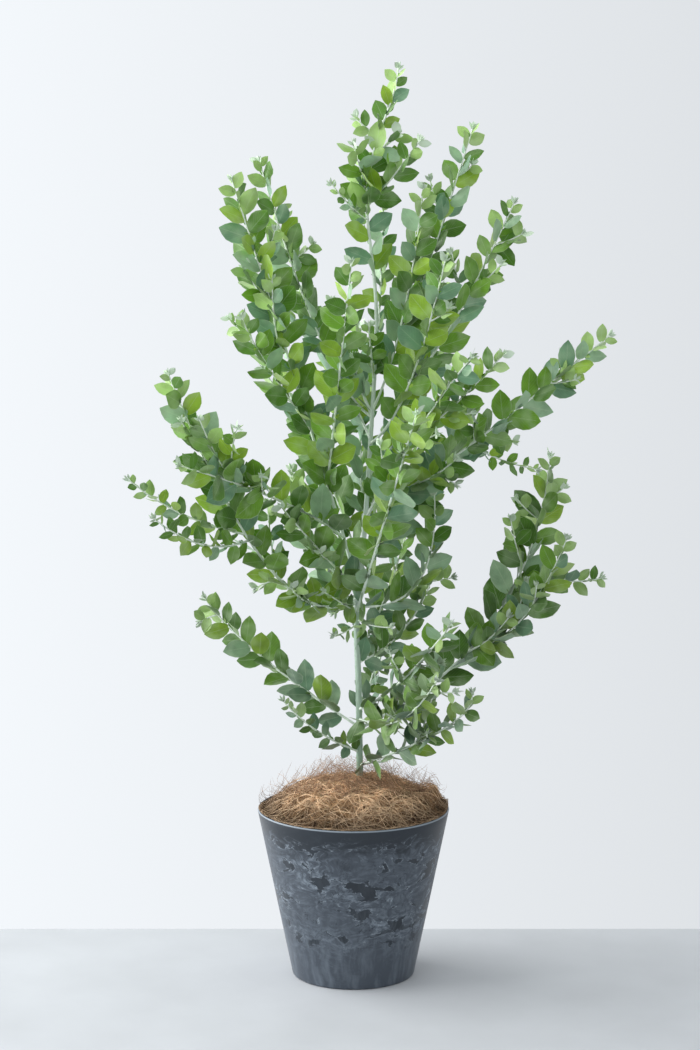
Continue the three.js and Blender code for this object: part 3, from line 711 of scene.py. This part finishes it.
def pot_material(pot):
    """Marbled stone-filled plastic, cast in a mould: satin, with a paler mineral skin that lies over the
    dark body in ragged patches, pale along their edges, with a plain dark band under the rim and faint
    streaks where it flowed to the foot. Thin dark lines of the body colour are painted shade of creases,
    and the rim's outer edge is painted pale as a highlight. Patches are some 33 mm across and their grain
    is 11 mm. Heights are in metres."""
    material, shader, add = new_material("marbled_stone_plastic", {"Roughness": 0.5})
    place = add("TexCoord", output="Object")
    height = add("SeparateXYZ", [place], 2)

    def product(*factors):
        """Shares multiplied together. A factor in brackets is a value moved from one range to another."""
        total = 1.0
        for factor in factors:
            share = add("MapRange", factor) if isinstance(factor, tuple) else factor
            total = add("Math", [total, share], operation="MULTIPLY")
        return total

    def line(value, middle, half):
        """1 where a value is at the middle, falling to 0 at half a width from it."""
        off = add("Math", [value, middle], operation="SUBTRACT")
        off = add("Math", [off], operation="ABSOLUTE")
        return add("MapRange", [off, 0.0, half, 1.0, 0.0])

    def pushed(places, size, reach):
        """Places pushed aside by noise of a size, up to half of a reach each way, both in millimetres."""
        push = add("TexNoise", {"Vector": places, "Scale": per_metre(size)}, "Color")
        return add("VectorMath", [push, [reach * MM] * 3, places], operation="MULTIPLY_ADD")

    # The patterns, on places squeezed in height and pushed about as the plastic flowed
    flat = add("Mapping", {"Vector": place, "Scale": (1.0, 1.0, 1.7)})
    flow = pushed(pushed(flat, 71.4, 70), 16.7, 18)
    patch = add("TexNoise", {"Vector": flow, "Scale": per_metre(33.3), "Detail": 6.0, "Roughness": 0.56})
    grain = add("TexNoise", {"Vector": flow, "Scale": per_metre(10.53), "Detail": 6.0, "Roughness": 0.65})
    broad = add("TexNoise", {"Vector": flat, "Scale": per_metre(100), "Detail": 1.0})
    crease = add("TexNoise", {"Vector": flow, "Scale": per_metre(37), "Detail": 3.0})
    stretch = (per_metre(11.1), per_metre(11.1), per_metre(167))
    long = add("Mapping", {"Vector": pushed(flat, 50, 12), "Scale": stretch})
    flowed = add("TexNoise", {"Vector": long, "Scale": 1.0, "Detail": 4.0, "Roughness": 0.6})
    # Below the plain band, and between it and the foot, with edges made ragged by the patches
    ragged = add("Math", [patch, 0.13, height], operation="MULTIPLY_ADD")
    below = add("MapRange", [ragged, 0.268, 0.298, 1.0, 0.0])
    middle = product(below, (ragged, 0.11, 0.17, 0.1, 1.0))
    # The skin covers the body where patches, broad noise and nearness to the foot add up to enough
    cover = add("Math", [patch, add("MapRange", [broad, 0.35, 0.65, -0.024, 0.11])], operation="ADD")
    cover = add("Math", [cover, add("MapRange", [height, 0.03, 0.09, 0.12, 0.0])], operation="ADD")
    skin = add("MapRange", [cover, 0.472, 0.502, 0.0, 1.0])
    # How thick each coat lies: along the skin's edge, in clouds, in thin lines and in streaks, and the
    # painted shade of creases in thin dark lines
    shore = product(middle, skin, (cover, 0.49, 0.53, 1.0, 0.0), (grain, 0.42, 0.6, 0.0, 1.0))
    clouds = product(middle, skin, (broad, 0.42, 0.6, 1.0, 0.3), (grain, 0.46, 0.66, 0.0, 1.0))
    edges = product(middle, line(cover, 0.495, 0.007), (grain, 0.48, 0.6, 0.0, 1.0))
    # Painted shade: thin dark lines of the body colour where creases would be; the shape has no creases
    crease_shade = product(middle, line(crease, 0.5, 0.008), (grain, 0.42, 0.56, 0.9, 0.0))
    streaks = product(below, (ragged, 0.1, 0.2, 0.45, 0.1), (flowed, 0.42, 0.7, 0.0, 1.0))
    # Painted highlight along the rim's outer edge, by the distance from the axis
    out = add("VectorMath", [place, (1.0, 1.0, 0.0)], operation="MULTIPLY")
    out = add("VectorMath", [out], "Value", operation="LENGTH")
    lip_edge = (out, pot.rim - 2.2 * MM, pot.rim - 1.4 * MM, 0.0, 1.0)
    rim_highlight = product((height, 0.2494, 0.2504, 0.0, 0.8), lip_edge)
    coated = lay_coats(add, pot.slate_colour, (
        (product(below, skin), pot.skin_colour), (clouds, pot.cloud_colour), (shore, pot.cloud_colour),
        (streaks, pot.cloud_colour), (edges, pot.vein_colour), (crease_shade, pot.slate_colour),
        (rim_highlight, pot.lip_highlight_colour)))
    rough = add("MapRange", [product(middle, skin), 0.0, 1.0, 0.36, 0.48])
    bump = add("Bump", {"Height": product(middle, patch), "Strength": 0.3, "Distance": 1 * MM})
    feed(shader, {"Base Color": coated, "Roughness": rough, "Normal": bump})
    return material


def floor_material(base):
    """Plain trowelled concrete: matt, with faint clouds about every 200 mm."""
    material, shader, add = new_material("floor_concrete", {"Roughness": 0.75})
    place = add("TexCoord", output="Object")
    clouds = add("TexNoise", {"Vector": place, "Scale": per_metre(200), "Detail": 6.0})
    share = add("MapRange", [clouds, 0.3, 0.7, 0.94, 1.05])
    feed(shader, {"Base Color": add("HueSaturation", {"Value": share, "Color": base})})
    return material


# Settings

def length(name, description, default):
    """A length setting, given in millimetres and kept in metres."""
    return bpy.props.FloatProperty(name=name, description=description, default=default * MM,
                                   subtype="DISTANCE", unit="LENGTH", precision=4)


def power(name, description, default):
    """A lamp's power setting, in watts."""
    return bpy.props.FloatProperty(name=name, description=description, default=default, unit="POWER")


def colour(name, description, code):
    """A colour setting, given as sRGB hex and kept as linear values."""
    return bpy.props.FloatVectorProperty(name=name, description=description, default=linear(code),
                                         subtype="COLOR", size=4, min=0, max=1)


POT_HIGH = np.array(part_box("pot")[1]) / MM
FIBRE_HIGH = np.array(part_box("fibre")[1]) / MM


class PotSettings(bpy.types.PropertyGroup):
    """The pot's sizes and colours"""

    rim: length("Rim radius", "Radius of the pot at its rim", POT_HIGH[1])
    base: length("Base radius", "Radius of the pot at its foot, where the side would meet the floor", 90.5)
    height: length("Height", "Height of the pot", POT_HIGH[2])
    wall: length("Wall", "Thickness of the pot's wall", 4)
    slate_colour: colour("Slate", "The body of the pot and its plain band", "#202831")
    skin_colour: colour("Skin", "The mineral skin over most of the body", "#414953")
    cloud_colour: colour("Clouds", "Pale mineral clouds in the skin", "#78838E")
    vein_colour: colour("Veins", "Thin pale edges of the patches", "#AEB8C1")
    # Painted highlight: the pale colour along the rim's outer edge
    lip_highlight_colour: colour("Lip", "Worn pale edge of the rim", "#8E99A3")
    soil_colour: colour("Soil", "Moist potting soil", "#33271E")


class FibreSettings(bpy.types.PropertyGroup):
    """The coconut fibre's sizes and colours"""

    thick: length("Thickness", "Thickness of a thick strand, coarser than life so that it shows", 0.8)
    longest: length("Longest", "Length of the longest strand", 160)
    strands: bpy.props.IntProperty(name="Strands", description="Strands of the dark and tan kinds together",
                                   default=5400, min=1)
    pale_colour: colour("Pale", "Long pale strands on top", "#D6B692")
    tan_colour: colour("Tan", "Most strands", "#AE8A64")
    dark_colour: colour("Dark", "Strands deep in the mound", "#6E5039")
    wisps_colour: colour("Wisps", "Loose strands that stand off the mound", "#8E7058")
    # Painted shade: the bed is darker than any strand and stands for the shade in the gaps between them
    shaded_bed_colour: colour("Bed", "The mound under the strands", "#54402E")


class StemSettings(bpy.types.PropertyGroup):
    """The trunk's and stems' sizes and colours"""

    joint: length("Joint spacing", "Distance between old leaf joints on the trunk and boughs", 17)
    foot_colour: colour("Foot", "Bark at the foot of the trunk", "#8C8468")
    old_colour: colour("Old wood", "Bark of the trunk", "#86A18A")
    young_colour: colour("Young wood", "Bloomy stems that carry the leaves", "#D6E4D8")
    tip_colour: colour("Tips", "Growing tips", "#E0EADC")


class LeafSettings(bpy.types.PropertyGroup):
    """The leaves' sizes and colours"""

    length: length("Length", "Length of a full-grown leaf", 44)
    width: length("Width", "Width of a full-grown leaf", 27.5)
    thick: length("Thickness", "Half the thickness of a blade at its rib", 0.22)
    pitch: length("Pitch", "Distance between full-grown leaves along a stem", 9)
    # Leaf tones: partly the leaves' own, partly painted light and shade, as fresh is dealt out more in front
    # and high up, and dusk and deep more at the back and low down
    fresh_colour: colour("Fresh", "Leaves that stand in the light", "#90B62E")
    green_colour: colour("Green", "Leaves of middle age", "#6A9A20")
    bloom_colour: colour("Bloom", "Leaves with a thick waxy bloom", "#99BC94")
    dusk_colour: colour("Dusk", "Older bloomy leaves, bluer and darker", "#6E9874")
    deep_colour: colour("Deep", "Old leaves inside the crown", "#52821C")
    young_colour: colour("Young", "Small leaves near the tips", "#A0C46E")
    silver_colour: colour("Silver", "Closed leaves at the growing tips", "#CCDEC6")
    rib_colour: colour("Rib", "Rib and margin", "#C8DAB8")


class StageSettings(bpy.types.PropertyGroup):
    """The floor, light and camera"""

    floor_colour: colour("Floor", "Pale floor", "#C0C3C6")
    back_colour: colour("Background", "Pale background round the scene", "#EEF2F6")
    key: power("Key light", "Power of the soft key light", 132)
    fill: power("Fill light", "Power of the weak light from the right", 11)
    edge: length("Floor edge", "How far behind the pot's middle the floor ends", 214)


# Operators

class ACACIA_OT_pot(bpy.types.Operator):
    """Make the pot as a fine surface of revolution, and finish the soil in it"""

    bl_idname = "acacia.pot"
    bl_label = "Pot and soil"

    def execute(self, context):
        pot = context.scene.acacia_pot
        base, rim, height, wall = (value / MM for value in (pot.base, pot.rim, pot.height, pot.wall))
        foot, lip, bottom, sectors = 4.0, wall / 2, 8, 160

        def outer(level):
            """The radius of the pot's outside at a height."""
            return lerp(base, rim, level / height)

        quarter = np.linspace(0, np.pi / 2, 7)
        side = np.linspace(foot, height - lip, 24)
        over = np.linspace(0, np.pi, 9)
        inner = np.linspace(height - lip, bottom, 20)
        middle = outer(height - lip) - lip
        toe = np.stack([outer(foot) - foot * (1 - np.sin(quarter)), foot * (1 - np.cos(quarter))], axis=1)
        profile = np.vstack([
            [[0, 0]],
            toe[:-1],
            np.stack([outer(side), side], axis=1)[:-1],
            np.stack([middle + lip * np.cos(over), height - lip + lip * np.sin(over)], axis=1)[:-1],
            np.stack([outer(inner) - wall, inner], axis=1),
            [[0, bottom]],
        ])
        points, quads, fans = lathe(profile, sectors)
        new_piece("pot_shell", points, (quads, fans), pot_material(pot), ["pot"])
        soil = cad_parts["soil"]
        soil.data.materials.clear()
        soil.data.materials.append(soil_material(pot.soil_colour))
        return {"FINISHED"}


# Heights of the fibre mound at its middle and edge, and its crest from left to right: places and heights
DOME, FIBRE_EDGE = 285, 247
CREST = ([-131, -118, -100, -77, -52, -28, 0, 48, 68, 80, 98, 114, 124, 131],
         [242, 250, 257, 268, 283, 283, 289, 292, 272, 267, 270, 279, 273, 255])


def low_side(x, y):
    """From 0 to 1 towards the back on the left, where the fibre lies lower."""
    return smooth(130, 260, 2 * y - x)


def mound_height(x, y):
    """The fibre mound: a dome that falls to its edge by the 0.75 power of one less the square of the share
    of the radius, with its edge 9 mm lower at the back on the left. Along its crest, from left to right, it
    follows the crest's heights, which die out over 30 mm in front and behind, and it has lumps all over."""
    out = np.clip(np.hypot(x, y) / FIBRE_HIGH[1], 0, 1)
    inner = np.clip(np.abs(x) / FIBRE_HIGH[1], 0, 1)
    edge = FIBRE_EDGE - 9 * low_side(x, y)
    dome = lerp(edge, DOME, (1 - out ** 2) ** 0.75)
    crest = np.interp(x, *CREST) - lerp(FIBRE_EDGE, DOME, (1 - inner ** 2) ** 0.75)
    lumps = 2.0 * np.sin(x / 11 + 1) * np.cos(y / 13)
    lumps = lumps + 1.6 * np.sin(y / 8 + x / 19) + 1.2 * np.sin(x / 6 - y / 9)
    return dome + crest * np.exp(-(y / 30) ** 2) + lumps * np.minimum(1, 4 * (1 - out))


@dataclass
class Strands:
    """A kind of fibre strand: by how much all the strands are divided to give its number, how many lie
    together in a lock, the shortest in millimetres and the longest as a share of the longest of all, the
    points along each, how high they arch, how much they turn, how far loose ends rise, the share of the
    mound from front to back that they keep to, and how thick they are as a share of a thick one."""

    name: str
    split: int
    together: int
    shortest: float
    longest: float
    rings: int
    arch: float
    curl: float
    loose: float
    depth: float
    thick: float


FIBRE_SEED, STRAND_SIDES = 40, 3
FIBRE_KINDS = (
    Strands("dark", 2, 6, 20, 0.5, 10, 2, 2.4, 0, 1, 0.9),
    Strands("tan", 2, 9, 40, 0.75, 14, 7, 2.2, 4, 1, 0.9),
    Strands("pale", 3, 7, 60, 1, 18, 12, 2.4, 4, 1, 1.1),
    Strands("wisps", 5, 2, 45, 0.75, 16, 6, 3.2, 46, 0.5, 0.5),
)


def strand_paths(kind, number, longest, seed):
    """The paths of fibre strands on the mound, in locks of a few together: each has its middle near its
    lock's chance place, follows an arc whose direction turns evenly and sways, and lies on the mound with
    an arch over its middle. Neighbours run much the same way. A loose strand's end rises off the mound by
    the square of the share gone. Out at the wall they run up over the rim. The source of chance comes back
    too, for the strands' radii."""
    rng = np.random.default_rng(seed)
    # The middle of each strand, near its lock's, and its length
    lock = np.arange(number) // kind.together
    locks = lock[-1] + 1
    radius = (FIBRE_HIGH[1] - 2) * np.sqrt(rng.random(locks))[lock]
    place = 2 * np.pi * rng.random(locks)[lock]
    start_x = (radius * np.cos(place) + rng.normal(0, 3, number))[:, None]
    start_y = (kind.depth * radius * np.sin(place) + rng.normal(0, 3, number))[:, None]
    size = lerp(kind.shortest, kind.longest * longest, rng.random(number) ** 1.6)
    # Its heading at each point: the mound's flow, the lock's own way, an even bend and a sway
    share = np.linspace(-0.5, 0.5, kind.rings)[None]
    bend = rng.normal(0, kind.curl, number)[:, None]
    sway = rng.normal(0, 0.6, number)[:, None]
    sway = sway * np.sin(2 * np.pi * (1.4 * share + rng.random(number)[:, None]))
    flow = 2.4 * np.sin(start_x / 37 + 1) + 2.0 * np.cos(start_y / 29 + start_x / 61)
    stray = rng.normal(0, 0.8, locks)[lock] + rng.normal(0, 0.35, number)
    heading = flow + stray[:, None] + bend * share + sway
    step = (size / (kind.rings - 1))[:, None]
    x = np.cumsum(np.cos(heading), axis=1) * step
    y = np.cumsum(np.sin(heading), axis=1) * step
    x = x - x.mean(axis=1, keepdims=True) + start_x
    y = y - y.mean(axis=1, keepdims=True) + start_y
    # Points past the pot's wall are drawn back inside it
    out = np.hypot(x, y)
    limit = POT_HIGH[1] - lerp(1.5, 11, low_side(x, y))
    pull = np.where(out > limit, (limit - 0.15 * (out - limit)) / out, 1)
    x, y = x * pull, y * pull
    # Heights on the mound, and over the rim
    arch = rng.random(number)[:, None] ** 2 * kind.arch * np.cos(np.pi * share)
    rise = kind.loose * rng.random(number)[:, None] * (share + 0.5) ** 2
    low = (rng.random(locks)[lock] * 7 + rng.random(number) * 2 - 4)[:, None]
    z = mound_height(x, y) + low + arch + rise
    over = smooth(FIBRE_HIGH[1], POT_HIGH[1] - 4, np.hypot(x, y))
    z = lerp(z, np.maximum(z, POT_HIGH[2] + 1.4 + 0.3 * low), over)
    return np.stack([x, y, z], axis=-1), rng


class ACACIA_OT_fibre(bpy.types.Operator):
    """Lay the coconut fibre: a lumpy bed, and joined strands of four colours over it"""

    bl_idname = "acacia.fibre"
    bl_label = "Coconut fibre"

    def execute(self, context):
        fibre = context.scene.acacia_fibre
        rings, sides, sunk = 40, 96, 3
        x, y = circles(FIBRE_HIGH[1] * np.linspace(0, 1, rings)[1:], sides)
        grain = 1.4 * np.sin(x / 3.1 + 2 * np.sin(y / 7)) * np.sin(y / 2.7 + x / 9)
        top = np.stack([x, y, mound_height(x, y) - sunk + grain], axis=-1)[::-1]
        under = np.stack([x[-1], y[-1], np.full(sides, SOIL_TOP + GAP)], axis=-1)
        ends = [[0, 0, SOIL_TOP + GAP], [0, 0, mound_height(0, 0) - sunk]]
        points = np.vstack([under, top.reshape(-1, 3), ends])
        # The bed's dark colour is painted shade seen through the gaps between the strands
        bed = fibre_material("coconut_fibre_bed", fibre.shaded_bed_colour)
        new_piece("fibre_bed", points, ring_faces(rings, sides), bed, ["fibre"])
        for seed, kind in enumerate(FIBRE_KINDS, FIBRE_SEED):
            centres, rng = strand_paths(kind, fibre.strands // kind.split, fibre.longest / MM, seed)
            radii = kind.thick * fibre.thick / MM / 2 * lerp(0.7, 1.2, rng.random(len(centres)))
            points, quads, fans = tubes(centres, radii[:, None, None], STRAND_SIDES, [0, 0, 1.0])
            paint = fibre_material(f"coconut_fibre_{kind.name}", getattr(fibre, f"{kind.name}_colour"))
            new_piece(f"fibre_{kind.name}", points, (quads, fans), paint, ["fibre"])
        return {"FINISHED"}


# Half the height of the collar at a leaf joint, the distance between the rings of bark and of leafy stems,
# the sides of their tubes, and how far a leafy stem starts inside the bark of its bough
COLLAR = 1.5
BARK_STEP, STEM_STEP = 1.6, 2.6
TRUNK_SIDES, BOUGH_SIDES, STEM_SIDES = 28, 16, 8
OVERLAP = 2


def bark_relief(gone, turn, radius, joint, seed):
    """How far bark stands out from the even taper: faint ribs along the limb, a collar at each old leaf
    joint that swells on the side where the leaf sat, and a fine grain, all in proportion to the radius."""
    ribs = 0.028 * np.cos(5 * turn + 0.015 * gone + seed) + 0.014 * np.cos(9 * turn - 0.01 * gone)
    number = np.round(gone / joint)
    near = np.exp(-((gone - number * joint) / COLLAR) ** 2)
    facing = 0.5 + 0.5 * np.cos(turn - np.radians(TURN) * number - seed)
    grain = 0.012 * np.sin(1.7 * gone + 3 * np.sin(4 * turn)) * np.sin(11 * turn + 0.4 * gone)
    return radius * (ribs + 0.13 * near * (0.3 + 0.7 * facing ** 2) + grain)


def stem_relief(gone, turn, radius, marks, seed):
    """How far a leafy stem stands out from its taper: a collar at every leaf, and three faint ribs."""
    collars = 0.22 * np.exp(-((gone[..., None] - marks) / COLLAR) ** 2).sum(axis=-1)
    return radius * (collars + 0.07 * np.cos(3 * turn + seed))


def wood_shape(limb, start, end, step, sides, relief):
    """A stretch of a limb as a tube with relief, and the age of its wood, which runs from 0 on the thickest
    to 1 on the thinnest. Where a limb leaves its parent it is swollen by 0.45 of its radius, which dies out
    by a power of e for every 5 mm."""
    gone = np.linspace(start, end, max(6, int((end - start) / step)))
    turn = 2 * np.pi * np.arange(sides) / sides
    radius = limb.radius(gone)
    swelling = 0 if limb.name == "trunk" else 0.45 * radius * np.exp(-gone / 5)
    radii = (radius + swelling)[:, None] + relief(gone[:, None], turn[None], radius[:, None])
    centres = limb.path.at(gone)
    points, quads, fans = tubes(centres[None], radii[None], sides, limb.side)
    ages = np.clip((TRUNK["foot"] + 0.4 - radius) / (TRUNK["foot"] - TIP_RADIUS), 0, 1)
    ages = np.concatenate([np.repeat(ages[1:-1], sides), ages[[0, -1]]])
    return points, quads, fans, ages


# The limbs by name, grown by main before the operators run
PLANT = {}


class ACACIA_OT_bark(bpy.types.Operator):
    """Carry the bark's relief along the trunk and boughs"""

    bl_idname = "acacia.bark"
    bl_label = "Trunk and boughs"

    def execute(self, context):
        stems = context.scene.acacia_stems
        shapes = []
        for limb in PLANT.values():
            if limb.bare > 0:
                share, sides = (1, TRUNK_SIDES) if limb.name == "trunk" else (limb.bare, BOUGH_SIDES)
                relief = partial(bark_relief, joint=stems.joint / MM, seed=limb.seed)
                shapes.append(wood_shape(limb, 0, share * limb.path.length, BARK_STEP, sides, relief))
        points, quads, fans, ages = join_shapes(shapes)
        paint = wood_material("young_bark", stems, grain=0.16)
        new_piece("bark", points, (quads, fans), paint, BARK_NODES, age=ages)
        return {"FINISHED"}


class ACACIA_OT_stems(bpy.types.Operator):
    """Grow the leafy stems and twigs, with a joint at every leaf"""

    bl_idname = "acacia.stems"
    bl_label = "Leafy stems"

    def execute(self, context):
        stems, leaf = context.scene.acacia_stems, context.scene.acacia_leaf
        shapes = []
        for limb in PLANT.values():
            if limb.name != "trunk":
                marks, _ = leaf_marks(limb, leaf.pitch / MM)
                relief = partial(stem_relief, marks=marks, seed=limb.seed)
                start = max(0, limb.bare * limb.path.length - OVERLAP)
                shapes.append(wood_shape(limb, start, limb.path.length, STEM_STEP, STEM_SIDES, relief))
        points, quads, fans, ages = join_shapes(shapes)
        paint = wood_material("bloomy_stem", stems, grain=0.08)
        new_piece("leafy_stems", points, (quads, fans), paint, FOLIAGE_NODES, age=ages)
        return {"FINISHED"}


# Colours dealt out by chance, with their shares of the leaves behind and in front. The rest are fresh.
# The darker deep and dusk have larger shares behind and low down, as painted shade, and the lighter fresh
# larger in front and high up, as painted light.
LEAF_KINDS = (("deep", 0.38, 0.16), ("dusk", 0.18, 0.07), ("bloom", 0.1, 0.11), ("green", 0.24, 0.34))

# Where a limb's tip is behind and ahead, which heights are low and high, and how far from a tip the leaves
# are young, between two limits, and silver
BEHIND, AHEAD = 120, -140
LOW, HIGH = 250, 700
YOUNG, SILVER = (14, 60), 8


def leaf_kinds(rows):
    """Deals out the colours by spray and by chance: young near the tips, fresh and bloomy in front, and
    deep at the back and low down. The young and silver tips are the leaves' own tone; the shift of lighter
    kinds to the front and top and darker ones to the back and bottom is painted light and shade."""
    # Painted light and shade: lighter kinds gain share in front and high up, darker ones at the back and low
    # down
    front = smooth(BEHIND, AHEAD, rows["tip_y"]) * smooth(LOW, HIGH, rows["root"][:, 2])
    kinds = np.full(len(front), "fresh", dtype="<U6")
    top = np.zeros(len(front))
    for kind, behind, ahead in LEAF_KINDS:
        low = top
        top = top + lerp(behind, ahead, front)
        kinds[(rows["kind"] >= low) & (rows["kind"] < top)] = kind
    kinds = np.where(rows["left"] < lerp(*YOUNG, rows["kind"]), "young", kinds)
    return np.where(rows["left"] < SILVER, "silver", kinds)


class ACACIA_OT_leaves(bpy.types.Operator):
    """Set the leaves on every stem and join them by colour"""

    bl_idname = "acacia.leaves"
    bl_label = "Leaves"

    def execute(self, context):
        leaf = context.scene.acacia_leaf
        parts = [leaf_rows(limb, leaf) for limb in PLANT.values()]
        rows = {name: np.concatenate([part[name] for part in parts]) for name in parts[0]}
        clear = clear_of_wood(rows, PLANT, LEAF["room"])
        rows = {name: values[clear] for name, values in rows.items()}
        kinds = leaf_kinds(rows)
        for kind in ("fresh", "green", "bloom", "dusk", "deep", "young", "silver"):
            chosen = {name: values[kinds == kind] for name, values in rows.items()}
            points, faces, uv, rim = leaf_blades(chosen, leaf.thick / MM)
            material = leaf_material(f"waxy_leaf_{kind}", getattr(leaf, f"{kind}_colour"), leaf.rib_colour)
            new_piece(f"leaves_{kind}", points, (faces,), material, FOLIAGE_NODES, uv=uv, rim=rim)
        return {"FINISHED"}


# The floor's reach, the background's strength from left to right, and each lamp's name, place, the place
# that it shines at and its width, in metres
FLOOR_REACH = 6.0
BACK_GLOW = (-0.4, 0.4, 1.25, 0.67)
LAMPS = (("key", (-2.6, 0.4, 1.6), (0, 0, 0.6), 3.6), ("fill", (2.4, -1.6, 2.0), (0, 0, 0.4), 3.0))

# The photograph's camera: its place in metres, how many degrees it looks down, its focal length and the
# photo's height in pixels, and the height of its sensor in millimetres
CAMERA_PLACE = (-0.005, -3.76, 1.21)
CAMERA_PITCH = 8.105
FOCAL_PIXELS, PHOTO_HEIGHT = 2600, 1050
SENSOR = 36


def lay_floor(scene, stage):
    """The floor, a flat sheet that ends behind the pot where the photograph's table does."""
    left, right, front = -FLOOR_REACH, FLOOR_REACH, -FLOOR_REACH
    mesh = bpy.data.meshes.new("floor")
    corners = [(left, front, 0), (right, front, 0), (right, stage.edge, 0), (left, stage.edge, 0)]
    mesh.from_pydata(corners, [], [(0, 1, 2, 3)])
    mesh.materials.append(floor_material(stage.floor_colour))
    floor = bpy.data.objects.new("floor", mesh)
    scene.collection.objects.link(floor)


def set_light(scene, stage):
    """The pale background, which is lighter on the left, and the lamps, each turned to its target."""
    world = scene.world or bpy.data.worlds.new("studio")
    scene.world = world
    world.use_nodes = True
    tree = world.node_tree
    across = add_node(tree, "SeparateXYZ", [add_node(tree, "TexCoord", output="Generated")])
    glow = add_node(tree, "MapRange", [across, *BACK_GLOW])
    feed(tree.nodes["Background"], {"Color": stage.back_colour, "Strength": glow})
    scene.view_settings.view_transform = "Standard"
    for name, place, target, size in LAMPS:
        lamp = bpy.data.lights.new(name, "AREA")
        lamp.energy = getattr(stage, name)
        lamp.size = size
        light = bpy.data.objects.new(name, lamp)
        light.location = place
        away = np.array(target) - np.array(place)
        tilt = math.acos(-away[2] / np.linalg.norm(away))
        light.rotation_euler = (tilt, 0, math.atan2(away[1], away[0]) - math.pi / 2)
        scene.collection.objects.link(light)


def set_camera(scene):
    """The camera at the photograph's place, angle and focal length."""
    camera = bpy.data.objects.new("camera", bpy.data.cameras.new("camera"))
    camera.location = CAMERA_PLACE
    camera.rotation_euler = (math.radians(90 - CAMERA_PITCH), 0, 0)
    camera.data.sensor_width = SENSOR
    camera.data.lens = FOCAL_PIXELS / PHOTO_HEIGHT * SENSOR
    scene.collection.objects.link(camera)
    scene.camera = camera


class ACACIA_OT_stage(bpy.types.Operator):
    """Set out the pale floor, the soft light and the camera at the photograph's angle"""

    bl_idname = "acacia.stage"
    bl_label = "Floor, light and camera"

    def execute(self, context):
        stage = context.scene.acacia_stage
        lay_floor(context.scene, stage)
        set_light(context.scene, stage)
        set_camera(context.scene)
        return {"FINISHED"}


class ACACIA_PT_panel(bpy.types.Panel):
    """The plant's operators and settings"""

    bl_label = "Potted Pearl Acacia"
    bl_idname = "ACACIA_PT_panel"
    bl_space_type = "VIEW_3D"
    bl_region_type = "UI"
    bl_category = "Acacia"

    def draw(self, context):
        for operator in OPERATORS:
            self.layout.operator(operator.bl_idname)


OPERATORS = (ACACIA_OT_stage, ACACIA_OT_pot, ACACIA_OT_fibre, ACACIA_OT_bark, ACACIA_OT_stems,
             ACACIA_OT_leaves)
SETTINGS = {"acacia_pot": PotSettings, "acacia_fibre": FibreSettings, "acacia_stems": StemSettings,
            "acacia_leaf": LeafSettings, "acacia_stage": StageSettings}


def register():
    """Registers the settings, the operators and the panel."""
    for name, group in SETTINGS.items():
        bpy.utils.register_class(group)
        setattr(bpy.types.Scene, name, bpy.props.PointerProperty(type=group))
    for operator in OPERATORS:
        bpy.utils.register_class(operator)
    bpy.utils.register_class(ACACIA_PT_panel)


def unregister():
    """Takes back what register did."""
    bpy.utils.unregister_class(ACACIA_PT_panel)
    for operator in reversed(OPERATORS):
        bpy.utils.unregister_class(operator)
    for name, group in SETTINGS.items():
        delattr(bpy.types.Scene, name)
        bpy.utils.unregister_class(group)


def main():
    """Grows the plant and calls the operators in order."""
    register()
    PLANT.update(grow_plant())
    bpy.ops.acacia.stage()
    bpy.ops.acacia.pot()
    bpy.ops.acacia.fibre()
    bpy.ops.acacia.bark()
    bpy.ops.acacia.stems()
    bpy.ops.acacia.leaves()


if __name__ == "__main__":
    main()
